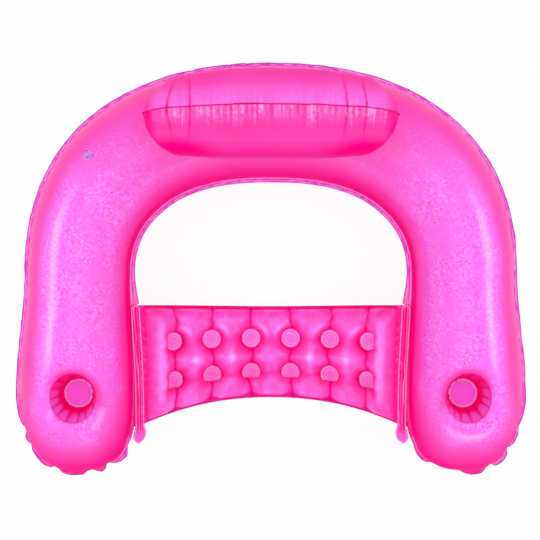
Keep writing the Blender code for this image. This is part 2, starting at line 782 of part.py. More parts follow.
def valve(name, sheet, target, model, cutters, finish):
    """A push-in valve on a sheet: base, stem, plug, tether and inner flap."""
    frame = bpy.data.objects.new(name, None)
    model.objects.link(frame)
    frame.matrix_world = facet_frame(sheet, target)
    rim_foot = VALVE_BASE_THICKNESS + CLEARANCE
    rim_top = rim_foot + STEM_RIM_THICKNESS
    cap_foot = rim_top + CLEARANCE
    cap_top = cap_foot + PLUG_CAP_THICKNESS
    stem_foot = -VALVE_COLLAR_DEPTH - STEM_TAIL
    shank = STEM_BORE - CLEARANCE
    base = turned(
        name + "_base",
        (
            (COLLAR_BORE, VALVE_BASE_THICKNESS),
            (VALVE_BASE_RADIUS - VALVE_BASE_THICKNESS / 2, VALVE_BASE_THICKNESS),
            (VALVE_BASE_RADIUS, 0),
            (COLLAR_RADIUS, 0),
            (COLLAR_RADIUS, -VALVE_COLLAR_DEPTH),
            (COLLAR_BORE, -VALVE_COLLAR_DEPTH),
        ),
        True,
        model,
        finish,
    )
    stem = turned(
        name + "_stem",
        (
            (STEM_BORE, rim_top),
            (STEM_RIM_RADIUS, rim_top),
            (STEM_RIM_RADIUS, rim_foot),
            (STEM_RADIUS, rim_foot),
            (STEM_RADIUS, stem_foot),
            (STEM_BORE, stem_foot),
        ),
        True,
        model,
        finish,
    )
    plug = turned(
        name + "_plug",
        (
            (0, cap_top),
            (PLUG_CAP_RADIUS - PLUG_CAP_ROUND, cap_top),
            (PLUG_CAP_RADIUS, cap_top - PLUG_CAP_ROUND),
            (PLUG_CAP_RADIUS, cap_foot),
            (shank, cap_foot),
            (shank - PLUG_TAPER, cap_foot - PLUG_SHANK),
            (0, cap_foot - PLUG_SHANK),
        ),
        False,
        model,
        finish,
    )
    middles = (rim_foot + rim_top) / 2, (cap_foot + cap_top) / 2
    tether = valve_tether(name + "_tether", *middles, model, finish)
    flap = valve_flap(name + "_flap", model, finish)
    base.parent = frame
    stem.parent = frame
    for piece in (plug, tether, flap):
        piece.parent = stem
    flap.location = (-FLAP_RADIUS, 0, stem_foot - CLEARANCE)
    hole = round_cutter(
        name + "_hole",
        COLLAR_RADIUS + CLEARANCE,
        CUTTER_OVERRUN,
        TURN_STEPS,
        cutters,
    )
    hole.parent = frame
    cut(sheet, hole)


def pool_lounger():
    """All of the lounger, in a collection of its own."""
    for old in list(bpy.data.objects):
        bpy.data.objects.remove(old)
    model = bpy.data.collections.new("pool_lounger")
    cutters = bpy.data.collections.new("cutters")
    for collection in (model, cutters):
        bpy.context.scene.collection.children.link(collection)
    vinyl = material("pink_vinyl", (1.0, 0.05, 0.5), 0.25)
    clear = material("clear_vinyl", (0.85, 0.8, 0.95), 0.2, 0.7)

    upper = tube_sheet("tube_upper_sheet", UP, model, vinyl)
    tube_sheet("tube_lower_sheet", DOWN, model, vinyl)
    rear = pillow_sheet("pillow_rear_sheet", UP, model, vinyl)
    pillow_sheet("pillow_front_sheet", DOWN, model, vinyl)
    seat_sheet("seat_upper_sheet", UP, model, vinyl)
    under = seat_sheet("seat_lower_sheet", DOWN, model, vinyl)
    for word, hand in (("left", LEFT), ("right", RIGHT)):
        end_strip("seat_end_strip_" + word, hand, model, vinyl)
        cup_wall("cup_wall_" + word, hand, model, vinyl)
        cup_floor("cup_floor_" + word, hand, model, vinyl)
        mouth = round_cutter(
            "cup_mouth_" + word,
            CUP_MOUTH_RADIUS,
            CUTTER_OVERRUN,
            2 * CUP_PLEATS,
            cutters,
        )
        mouth.location = (hand * CUP_X, CUP_Y, CUP_RIM_Z)
        cut(upper, mouth)

    centre, outward, radius = tube_section(TUBE_VALVE_STATION_SHARE)
    turn = math.radians(TUBE_VALVE_RISE_DEGREES)
    on_tube = centre + outward * (radius * math.cos(turn))
    on_tube.z = EQUATOR + radius * math.sin(turn)
    on_tube.x *= LEFT
    valve("tube_valve", upper, on_tube, model, cutters, clear)
    on_pillow = Vector(
        (
            PILLOW_HALF_LENGTH * PILLOW_VALVE_ACROSS_SHARE,
            PILLOW_Y + PILLOW_REAR_DEPTH,
            PILLOW_FLOOR + PILLOW_HEIGHT * PILLOW_CENTRE_SHARE,
        )
    )
    valve("pillow_valve", rear, on_pillow, model, cutters, clear)
    under_seat = seat_middle(SEAT_VALVE_ACROSS_SHARE, SEAT_VALVE_ALONG_SHARE)
    under_seat.z -= SEAT_HALF_THICKNESS
    valve("seat_valve", under, under_seat, model, cutters, clear)


pool_lounger()
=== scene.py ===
"""Looks of the inflatable pool lounger: glossy glitter vinyl with its welds, puckers and
folds, pleated can holders, a quilted seat and clear push-in valves. Metres, +Z up."""

import json
import logging
import math
from dataclasses import dataclass, field
from enum import Enum
from typing import Any, Callable

import bpy
import numpy as np
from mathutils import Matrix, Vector


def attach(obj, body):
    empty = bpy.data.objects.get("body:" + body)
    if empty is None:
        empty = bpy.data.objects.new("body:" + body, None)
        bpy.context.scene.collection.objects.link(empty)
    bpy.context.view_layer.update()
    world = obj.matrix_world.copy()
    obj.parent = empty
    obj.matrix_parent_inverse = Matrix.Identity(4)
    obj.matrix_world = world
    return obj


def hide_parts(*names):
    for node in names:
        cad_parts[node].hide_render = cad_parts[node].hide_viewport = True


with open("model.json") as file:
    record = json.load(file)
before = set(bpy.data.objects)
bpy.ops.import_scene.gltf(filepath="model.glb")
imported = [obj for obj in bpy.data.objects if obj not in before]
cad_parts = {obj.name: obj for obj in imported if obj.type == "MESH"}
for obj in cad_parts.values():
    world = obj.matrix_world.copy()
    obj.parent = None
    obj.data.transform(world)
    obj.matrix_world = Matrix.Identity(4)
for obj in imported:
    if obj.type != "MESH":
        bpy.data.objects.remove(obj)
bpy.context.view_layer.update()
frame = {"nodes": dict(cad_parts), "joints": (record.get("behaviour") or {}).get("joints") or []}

ROOT = "lounger"
# A sheet's thickness, and how far it lies from the middle of its weld
WALL = 0.0004
SEAM_LIFT = 0.0004
# Corners this near to each other become one
MERGE = 2e-5
TINY = 1e-9
NOISE_CELLS = 4096
DIMPLE_CELLS = 64
# Noise is read this far along: no place is negative, and no two patterns of a piece match
AHEAD, FURTHER, FAR, FARTHEST = 2.0, 3.0, 4.0, 5.0
log = logging.getLogger("pool_lounger")

Array = np.ndarray
Colour = tuple[float, float, float]

WHITE: Colour = (1.0, 1.0, 1.0)


class Side(Enum):
    """Which way a sheet faces."""

    UP = 1
    DOWN = -1


class Hand(Enum):
    """Which arm a piece belongs to."""

    LEFT = -1
    RIGHT = 1


# Smooth steps, noise and creases, all on arrays


def eased(share: Array) -> Array:
    """0 to 1 with level ends."""
    share = np.clip(share, 0, 1)
    return share * share * (3 - 2 * share)


def rounded(share: Array) -> Array:
    """A quarter circle's height: steep at 0 and level at 1."""
    return np.sqrt(1 - (1 - np.clip(share, 0, 1)) ** 2)


def bell(offset: Array, width: float) -> Array:
    """1 where the offset is 0, and falling off smoothly past a width."""
    return np.exp(-((offset / width) ** 2))


def mixed(start: Array, end: Array, share: Array) -> Array:
    """The values that lie a share of the way from start to end."""
    return start + (end - start) * share


def read_off(table: tuple[tuple[float, float], ...], place: Array) -> Array:
    """Values between those of a table of places and values."""
    return np.interp(place, *np.array(table).T)


def wander(along: Array, period: float, seed: int, loop: float = 0.0) -> Array:
    """Smooth noise from -1 to 1 along a line.

    Args:
        along: Distances along the line.
        period: The distance between two independent values.
        seed: Picks the noise.
        loop: The line's whole length where it is closed.

    Returns:
        The noise at each distance.
    """
    cells = max(2, round(loop / period)) if loop else NOISE_CELLS
    step = loop / cells if loop else period
    values = np.random.default_rng(seed).uniform(-1, 1, cells)
    place = along / step
    low = np.floor(place).astype(int)
    return mixed(values[low % cells], values[(low + 1) % cells], eased(place - low))


def dimples(x: Array, y: Array, period: float, seed: int) -> Array:
    """Smooth noise from -1 to 1 over a plane.

    Args:
        x: Distances one way.
        y: Distances the other way.
        period: The distance between two independent values.
        seed: Picks the noise.

    Returns:
        The noise at each place.
    """
    cells = DIMPLE_CELLS
    values = np.random.default_rng(seed).uniform(-1, 1, (cells, cells))
    column, row = np.floor(x / period).astype(int), np.floor(y / period).astype(int)
    right, up = eased(x / period - column), eased(y / period - row)
    near, far = (
        mixed(values[column % cells, each % cells], values[(column + 1) % cells, each % cells], right)
        for each in (row, row + 1)
    )
    return mixed(near, far, up)


def creases(along: Array, spacing: float, width: float, seed: int) -> Array:
    """Narrow folds of uneven depth at uneven places along a line.

    Args:
        along: Distances along the line.
        spacing: The mean distance between folds.
        width: How wide a fold is.
        seed: Picks the folds.

    Returns:
        0 between folds and up to 1 in a fold's bottom.
    """
    cells = NOISE_CELLS
    draw = np.random.default_rng(seed)
    shifts, depths = draw.uniform(0.1, 0.9, cells), draw.uniform(0.3, 1.0, cells)
    cell = np.floor(along / spacing).astype(int)
    depth = np.zeros_like(along)
    for near in (-1, 0, 1):
        index = (cell + near) % cells
        middle = (cell + near + shifts[index]) * spacing
        depth = np.maximum(depth, depths[index] * np.exp(-np.abs(along - middle) / width))
    return depth


# Meshes


def corners(piece: bpy.types.Object) -> Array:
    """The piece's corners as rows of x, y and z.

    Args:
        piece: The piece.

    Returns:
        A row for each corner.
    """
    flat = np.empty(len(piece.data.vertices) * 3)
    piece.data.vertices.foreach_get("co", flat)
    return flat.reshape(-1, 3)


def shape(piece: bpy.types.Object, points: Array) -> None:
    """Move the piece's corners to points."""
    piece.data.vertices.foreach_set("co", points.ravel())
    piece.data.update()


def mark(piece: bpy.types.Object, **numbers: Array) -> None:
    """Store numbers from 0 to 1 on each corner, for a material to read by their names.

    Args:
        piece: The piece.
        **numbers: For each name, a number for each corner, clipped to 0 to 1.
    """
    for name, values in numbers.items():
        layer = piece.data.attributes.new(name, "FLOAT", "POINT")
        layer.data.foreach_set("value", np.ascontiguousarray(np.clip(values, 0, 1), np.float32))


def unwrap(piece: bpy.types.Object, along: Array, out: Array) -> None:
    """Give the piece a UV map in metres: along its weld, and away from it.

    Args:
        piece: The piece.
        along: Each corner's distance along the weld.
        out: Its distance from the weld.
    """
    loops = np.empty(len(piece.data.loops), int)
    piece.data.loops.foreach_get("vertex_index", loops)
    layer = piece.data.uv_layers.active or piece.data.uv_layers.new(name="weld")
    layer.data.foreach_set("uv", np.stack([along[loops], out[loops]], 1).ravel())


def only(piece: bpy.types.Object) -> None:
    """Select one piece and nothing else, and make it the active one.

    Args:
        piece: The piece.
    """
    bpy.ops.object.select_all(action="DESELECT")
    piece.select_set(True)
    bpy.context.view_layer.objects.active = piece


def grid(name: str, columns: int, rows: int) -> tuple[bpy.types.Object, Array, Array]:
    """Add a flat grid to be bent into a sheet.

    Args:
        name: The piece's name.
        columns: How many faces it has one way.
        rows: How many faces it has the other way.

    Returns:
        The piece, and each corner's column and row.
    """
    bpy.ops.object.select_all(action="DESELECT")
    bpy.ops.mesh.primitive_grid_add(x_subdivisions=columns, y_subdivisions=rows, size=2)
    piece = bpy.context.active_object
    piece.name = piece.data.name = name
    flat = corners(piece)
    return piece, np.round((flat[:, 0] + 1) / 2 * columns), np.round((flat[:, 1] + 1) / 2 * rows)


def clear_corners(piece: bpy.types.Object, gone: Array) -> None:
    """Take corners, and the faces on them, out of a piece.

    Args:
        piece: The piece.
        gone: Which corners go.
    """
    only(piece)
    bpy.ops.object.mode_set(mode="EDIT")
    bpy.ops.mesh.select_mode(type="VERT")
    bpy.ops.mesh.select_all(action="DESELECT")
    bpy.ops.object.mode_set(mode="OBJECT")
    piece.data.vertices.foreach_set("select", gone)
    bpy.ops.object.mode_set(mode="EDIT")
    bpy.ops.mesh.delete(type="VERT")
    bpy.ops.object.mode_set(mode="OBJECT")


def seal(piece: bpy.types.Object, outward: Vector) -> None:
    """Join a bent sheet's meeting edges, face it outwards and give it its thickness.

    Args:
        piece: The sheet.
        outward: Where the sheet faces on the whole.
    """
    only(piece)
    bpy.ops.object.mode_set(mode="EDIT")
    bpy.ops.mesh.select_all(action="SELECT")
    bpy.ops.mesh.remove_doubles(threshold=MERGE)
    bpy.ops.mesh.select_all(action="SELECT")
    bpy.ops.mesh.normals_make_consistent(inside=False)
    bpy.ops.object.mode_set(mode="OBJECT")
    total = sum((face.normal * face.area for face in piece.data.polygons), Vector())
    if total.dot(outward) < 0:
        bpy.ops.object.mode_set(mode="EDIT")
        bpy.ops.mesh.select_all(action="SELECT")
        bpy.ops.mesh.flip_normals()
        bpy.ops.object.mode_set(mode="OBJECT")
    wall = piece.modifiers.new("Wall", "SOLIDIFY")
    wall.thickness = WALL
    wall.offset = -1
    only(piece)
    bpy.ops.object.modifier_apply(modifier=wall.name)
    bpy.ops.object.shade_smooth()


def sew(
    piece: bpy.types.Object,
    weld: tuple[Array, Array],
    outward: Vector,
    vinyl: "Graph",
    gone: Array | None = None,
) -> bpy.types.Object:
    """Finish a sheet whose corners are in place and marked.

    Args:
        piece: The sheet.
        weld: Each corner's distance along the weld, and away from it.
        outward: Where the sheet faces on the whole.
        vinyl: Its finish.
        gone: The corners in its openings, where it has any.

    Returns:
        The finished piece.
    """
    unwrap(piece, *weld)
    if gone is not None:
        clear_corners(piece, gone)
    seal(piece, outward)
    vinyl.dress(piece)
    return piece


def slope_of(points: Callable[[Array, Array], Array], u: Array, v: Array, step: float) -> Array:
    """Unit normals of a surface by small steps.

    Args:
        points: Gives the surface's points at two arrays of coordinates.
        u: First coordinates.
        v: Second coordinates.
        step: The size of the steps.

    Returns:
        A unit normal for each place.
    """
    across = points(u + step, v) - points(u - step, v)
    along = points(u, v + step) - points(u, v - step)
    normal = np.cross(across, along)
    return normal / (np.linalg.norm(normal, axis=1, keepdims=True) + TINY)


# Materials


class Wire:
    """A shader value that takes part in sums: each operator adds a Math node."""

    def __init__(self, graph: "Graph", socket: bpy.types.NodeSocket) -> None:
        """Wrap one output socket of a graph."""
        self.graph = graph
        self.socket = socket

    def sum_with(self, operation: str, first: Any, second: Any) -> "Wire":
        """One Math node on two values."""
        return self.graph.add("ShaderNodeMath", {"operation": operation}, {0: first, 1: second})

    def __add__(self, other: Any) -> "Wire":
        """self + other."""
        return self.sum_with("ADD", self, other)

    def __sub__(self, other: Any) -> "Wire":
        """self - other."""
        return self.sum_with("SUBTRACT", self, other)

    def __rsub__(self, other: Any) -> "Wire":
        """other - self."""
        return self.sum_with("SUBTRACT", other, self)

    def __mul__(self, other: Any) -> "Wire":
        """self * other."""
        return self.sum_with("MULTIPLY", self, other)

    def __pow__(self, other: Any) -> "Wire":
        """self to the power of other."""
        return self.sum_with("POWER", self, other)

    __radd__ = __add__
    __rmul__ = __mul__

    def most(self, other: Any) -> "Wire":
        """The larger of two values."""
        return self.sum_with("MAXIMUM", self, other)

    def least(self, other: Any) -> "Wire":
        """The smaller of two values."""
        return self.sum_with("MINIMUM", self, other)

    def step(self, low: float, high: float) -> "Wire":
        """0 below low, 1 above high and eased between them.

        Args:
            low: Where it leaves 0.
            high: Where it reaches 1.

        Returns:
            The eased value.
        """
        return self.graph.add(
            "ShaderNodeMapRange",
            {"interpolation_type": "SMOOTHSTEP"},
            {"Value": self, "From Min": low, "From Max": high},
        )


class Graph:
    """The node tree of a material or a world."""

    def __init__(self, owner: bpy.types.ID) -> None:
        """Start a material's or a world's own nodes.

        Args:
            owner: The material or the world.
        """
        owner.use_nodes = True
        self.owner = owner
        self.tree = owner.node_tree
        self.shader = self.tree.nodes.get("Principled BSDF") or self.tree.nodes["Background"]

    def add(self, kind: str, settings: dict[str, Any], inputs: dict[Any, Any], output: Any = 0) -> Wire:
        """Add a node.

        Args:
            kind: The node's type.
            settings: Its settings, which are set first.
            inputs: Values or wires for its sockets, by name or number.
            output: Which of its outputs is wanted.

        Returns:
            The wanted output.
        """
        node = self.tree.nodes.new(kind)
        for name, value in settings.items():
            setattr(node, name, value)
        for name, value in inputs.items():
            self.feed(node.inputs[name], value)
        return Wire(self, node.outputs[output])

    def feed(self, socket: bpy.types.NodeSocket, value: Any) -> None:
        """Link a wire to a socket, or set the socket's own value.

        Args:
            socket: The input socket.
            value: A wire, a number, or a colour or vector of three.
        """
        if isinstance(value, Wire):
            self.tree.links.new(value.socket, socket)
        elif isinstance(value, tuple) and len(value) == 3 and socket.type == "RGBA":
            socket.default_value = (*value, 1)
        else:
            socket.default_value = value

    def blend(self, share: Any, first: Any, second: Any) -> Wire:
        """A colour a share of the way from first to second.

        Args:
            share: 0 for first, 1 for second.
            first: A colour.
            second: Another colour.

        Returns:
            The colour.
        """
        return self.add(
            "ShaderNodeMix", {"data_type": "RGBA"}, {"Factor": share, 6: first, 7: second}, 2
        )

    def number(self, name: str) -> Wire:
        """A number that the mesh holds on its corners."""
        return self.add("ShaderNodeAttribute", {"attribute_name": name}, {}, "Fac")

    def place(self) -> Wire:
        """Object coordinates."""
        return self.add("ShaderNodeTexCoord", {}, {}, "Object")

    def weld_place(self, along: float, out: float) -> Wire:
        """The UV map in metres, stretched by how many cells there are a metre each way."""
        where = self.add("ShaderNodeTexCoord", {}, {}, "UV")
        return self.add("ShaderNodeMapping", {}, {"Vector": where, "Scale": (along, out, 1.0)})

    def noise(self, where: Wire, scale: float, detail: float = 2.0) -> Wire:
        """Soft noise from 0 to 1.

        Args:
            where: The coordinates.
            scale: Its cells a metre.
            detail: How many finer layers it has.

        Returns:
            The noise.
        """
        return self.add(
            "ShaderNodeTexNoise", {}, {"Vector": where, "Scale": scale, "Detail": detail}
        )

    def flakes(self, where: Wire, size: float) -> Wire:
        """A random number from 0 to 1 for each flake of a size in metres."""
        cells = self.add("ShaderNodeTexVoronoi", {}, {"Vector": where, "Scale": 1 / size}, "Color")
        return self.add("ShaderNodeSeparateColor", {}, {"Color": cells}, 0)

    def relief(self, where: Wire, grain: tuple[float, float, float], under: Wire | None = None) -> Wire:
        """A bump normal from soft noise.

        Args:
            where: The coordinates.
            grain: The noise's cells a metre, its height in metres and its strength.
            under: Another bump normal that lies under this one.

        Returns:
            The normal.
        """
        scale, distance, strength = grain
        inputs = {"Height": self.noise(where, scale), "Distance": distance, "Strength": strength}
        return self.add("ShaderNodeBump", {}, inputs | ({"Normal": under} if under else {}))

    def glare(self) -> Wire:
        """1 for the rays that show the white background, 0 for the rays that carry light.

        Returns:
            The 1 or 0.
        """
        kinds = ("Is Camera Ray", "Is Glossy Ray", "Is Transmission Ray")
        seen = [self.add("ShaderNodeLightPath", {}, {}, kind) for kind in kinds]
        return seen[0].most(seen[1]).most(seen[2])

    def finish(self, looks: dict[str, Any]) -> None:
        """Feed the shader's sockets, each with a wire or with the same value all over."""
        for name, value in looks.items():
            self.feed(self.shader.inputs[name], value)

    def dress(self, piece: bpy.types.Object) -> None:
        """Make this the piece's only material.

        Args:
            piece: The piece.
        """
        if not piece.material_slots:
            piece.data.materials.append(self.owner)
        for slot in piece.material_slots:
            slot.material = self.owner


@dataclass(frozen=True)
class GlitterVinyl:
    """Hot pink vinyl with fine glitter in it: painted shade makes it deep pink in its folds, and painted
    light makes it lilac where it is level.
    """

    # From deep through hot to lilac the colours run from painted shade to painted light; the next is the
    # painted sheen of glancing flanks, pale is for painted highlights and dark for dark lines and painted
    # shade in creases
    deep: Colour = (1.0, 0.0, 0.25)
    hot: Colour = (1.0, 0.045, 0.42)
    lilac: Colour = (1.0, 0.13, 0.84)
    warm: Colour = (1.0, 0.075, 0.4)
    fin: Colour = (0.88, 0.055, 0.69)
    streak: Colour = (0.98, 0.26, 0.88)
    pale: Colour = (1.0, 0.46, 0.98)
    dark: Colour = (0.5, 0.0, 0.22)
    rim: Colour = (0.42, 0.0, 0.28)
    glitter: Colour = (1.0, 0.36, 1.0)
    dusk: Colour = (0.92, 0.04, 0.62)
    sparkle: float = 1.0
    flake: float = 0.0044
    patch: float = 0.11
    mottling: float = 0.16
    dusk_strength: float = 0.8
    flake_strength: float = 0.5
    fine_strength: float = 0.3
    weld_cells: tuple[float, float] = (45.0, 160.0)
    pale_line: float = 0.6
    dark_line: float = 0.45
    roughness: float = 0.42
    unevenness: float = 0.14
    flake_gloss: float = 0.06
    gloss: float = 0.01
    coat: float = 1.0
    coat_roughness: float = 0.235
    grain: tuple[float, float, float] = (900.0, 0.0003, 0.35)
    ripple: tuple[float, float, float] = (26.0, 0.004, 0.22)

    def graph(self, name: str) -> Graph:
        """The material, which reads the numbers that the sheets hold on their corners.

        Args:
            name: The material's name.

        Returns:
            The finished graph.
        """
        g = Graph(bpy.data.materials.new(name))
        where = g.place()
        names = ("pearl", "warm", "fin", "pale", "dark", "out", "rim")
        pearl, warm, fin, pale, dark, out, rim = (g.number(each) for each in names)
        # The painted light runs from 0, painted shade in the deep colour, to 1, painted light in lilac; the
        # mottle adds tone that differs at random
        mottle = g.noise(where, 1 / self.patch, 3.0) - 0.5
        level = pearl + mottle * self.mottling
        colour = g.blend(level.step(0.0, 0.5), self.deep, self.hot)
        colour = g.blend(level.step(0.4, 1.0), colour, self.lilac)
        # Painted sheen on glancing flanks
        colour = g.blend(warm, colour, self.warm)
        # Glitter, in patches, where the painted light is strong and off the flange
        flake, fine = g.flakes(where, self.flake), g.flakes(where, self.flake / 2)
        patches = g.noise(where, 1.5 / self.patch, 2.0).step(0.3, 0.65) * 0.75 + 0.25
        shown = patches * level.step(0.5, 0.95) * (1 - fin) * self.sparkle
        colour = g.blend((1 - flake).step(0.66, 0.95) * self.dusk_strength * shown, colour, self.dusk)
        bright = flake.step(0.6, 0.95) * self.flake_strength + fine.step(0.6, 1.0) * self.fine_strength
        colour = g.blend(bright * shown, colour, self.glitter)
        # The flange: streaks, a pale and a dark line along the weld, and its edge
        streaks = g.noise(g.weld_place(*self.weld_cells), 1.0, 3.0).step(0.38, 0.62)
        colour = g.blend(fin, colour, g.blend(streaks, self.fin, self.streak))
        by_weld = out.step(0.04, 0.12) * (1 - out.step(0.22, 0.34)) * fin
        # The pale colour: painted highlights, and the pale line along the weld
        colour = g.blend((pale + by_weld * self.pale_line).least(1.0), colour, self.pale)
        second = out.step(0.28, 0.38) * (1 - out.step(0.42, 0.54)) * fin
        # The dark colour: dark lines, painted shade in creases and folds, and the second line along the
        # weld
        colour = g.blend((dark + second * self.dark_line).least(1.0), colour, self.dark)
        colour = g.blend(out.step(0.78, 0.9) * rim, colour, self.rim)
        g.finish(
            {
                "Base Color": colour,
                "Roughness": self.roughness + mottle * self.unevenness - flake * self.flake_gloss,
                "Coat Weight": level.step(0.28, 0.85) * self.coat,
                "Coat Roughness": self.coat_roughness,
                "Specular IOR Level": self.gloss,
                "Normal": g.relief(where, self.ripple, g.relief(where, self.grain)),
            }
        )
        return g


@dataclass(frozen=True)
class ClearVinyl:
    """The valves' clear, slightly violet vinyl."""

    body: Colour = (0.3, 0.15, 0.66)
    cloud: Colour = (0.78, 0.34, 0.88)
    cloud_cells: float = 160.0
    roughness: float = 0.3
    unevenness: float = 0.12
    gloss: float = 0.3
    grain: tuple[float, float, float] = (1400.0, 0.0002, 0.3)

    def graph(self, name: str, tint: float, alpha: float) -> Graph:
        """The material, more violet the larger tint is.

        Args:
            name: The material's name.
            tint: 0 for the pale clouds' colour, 1 for the full violet.
            alpha: 0 for quite clear, 1 for solid.

        Returns:
            The finished graph.
        """
        g = Graph(bpy.data.materials.new(name))
        where = g.place()
        clouds = g.noise(where, self.cloud_cells, 3.0)
        thin = tuple(mixed(cloud, body, tint) for body, cloud in zip(self.body, self.cloud))
        g.finish(
            {
                "Base Color": g.blend(clouds.step(0.35, 0.75), thin, self.cloud),
                "Roughness": self.roughness + (clouds - 0.5) * self.unevenness,
                "Normal": g.relief(where, self.grain),
                "Specular IOR Level": self.gloss,
                "Alpha": alpha,
            }
        )
        return g


# The tube


@dataclass
class ValvePlace:
    """Where a valve sits: its foot and its outward direction, read from the frame."""

    name: str
    base_thickness: float = 0.0008
    clearance: float = 0.0003
    hole: float = 0.0086
    flat: float = 0.017
    ease: float = 0.024
    foot: Array = field(init=False)
    axis: Array = field(init=False)

    def __post_init__(self) -> None:
        """Measure the valve's base along its stem's slide."""
        joint = next(each for each in frame["joints"] if each["name"] == self.name + "_stem_pull")
        self.axis = np.array(joint["axis"]) / np.linalg.norm(joint["axis"])
        base = corners(frame["nodes"][self.name + "_valve_base"])
        middle = base.mean(axis=0)
        top = (base @ self.axis).max()
        self.foot = middle + self.axis * (top - self.base_thickness - middle @ self.axis)

    def seat(self, points: Array) -> tuple[Array, Array]:
        """Press a sheet flat under the valve's base.

        Args:
            points: The sheet's corners.

        Returns:
            The pressed corners, and which of them lie in the hole.
        """
        offset = points - self.foot
        height = offset @ self.axis
        flat_way = offset - height[:, None] * self.axis
        away = np.linalg.norm(flat_way, axis=1)
        near = np.abs(height) < 4 * self.flat
        press = (1 - eased((away - self.flat) / self.ease)) * near
        pressed = points - self.axis * ((height + self.clearance) * press)[:, None]
        return pressed, (away < self.hole) & near


def press_valves(points: Array, valves: list[ValvePlace]) -> tuple[Array, Array]:
    """Press a sheet flat under its valves, and find the corners in their holes.

    Args:
        points: The sheet's corners.
        valves: The valves that sit on it.

    Returns:
        The pressed corners, and which of them lie in a hole.
    """
    gone = np.zeros(len(points), bool)
    for valve in valves:
        points, hole = valve.seat(points)
        gone |= hole
    return points, gone


def rearward(angle: Array, spread: float) -> Array:
    """How far an angle in plan points to the back, where a can holder lies in its own shade."""
    return eased(0.5 + spread * np.cos(angle - math.radians(110)))


# Degrees up the tube's section from its weld, and how much painted light the vinyl gets there: painted
# shade low on the side, painted light where it faces up
INNER_PAINTED_LIGHT = ((12, 0), (19, 0.38), (25, 0.54), (31, 0.68), (36, 0.79), (40, 0.87), (44, 0.93), (50, 1))
OUTER_PAINTED_LIGHT = ((0, 0.5), (42, 0.5), (49, 0.58), (54, 0.68), (59, 0.8), (64, 0.92), (70, 1))

# Degrees round each tip from its outer side, and how far the flange's edge lies beyond the
# tube there, in millimetres
LEFT_SCALLOPS = (
    (0, 13.8), (12, 15.5), (25, 15.7), (33, 13.4), (40, 6), (42.5, 8), (44.5, 15), (48, 15),
    (52.3, 9.5), (55.2, 16.3), (61, 18.5), (67.7, 18.2), (72.5, 12), (75.2, 3), (77.5, 7),
    (80.8, 12.8), (85.5, 14), (93.7, 12.5), (97.1, 5.6), (100.5, 3.6), (106.1, 11),
    (109, 8), (111.9, -2), (115, 6), (120.3, 14.8), (125.5, 19.6), (130, 8), (136, 10), (180, 13.8),
)
RIGHT_SCALLOPS = (
    (0, 13.8), (16, 17), (28.6, 15.8), (36.7, 11), (39.5, 14), (42.2, 18), (49.2, 17.8), (53, 13),
    (56.2, 6), (57.6, 16), (60.7, 21), (65, 21), (68.8, 17), (71.2, 7), (74.2, 1.3), (75.6, 8),
    (79.1, 15), (85.6, 13.5), (93, 5.4), (98, -4), (104.8, -3), (110, -4), (113.5, 0), (115.7, 6),
    (120, 10.3), (126, 11), (131.1, 8.4), (140, 11), (180, 13.8),
)


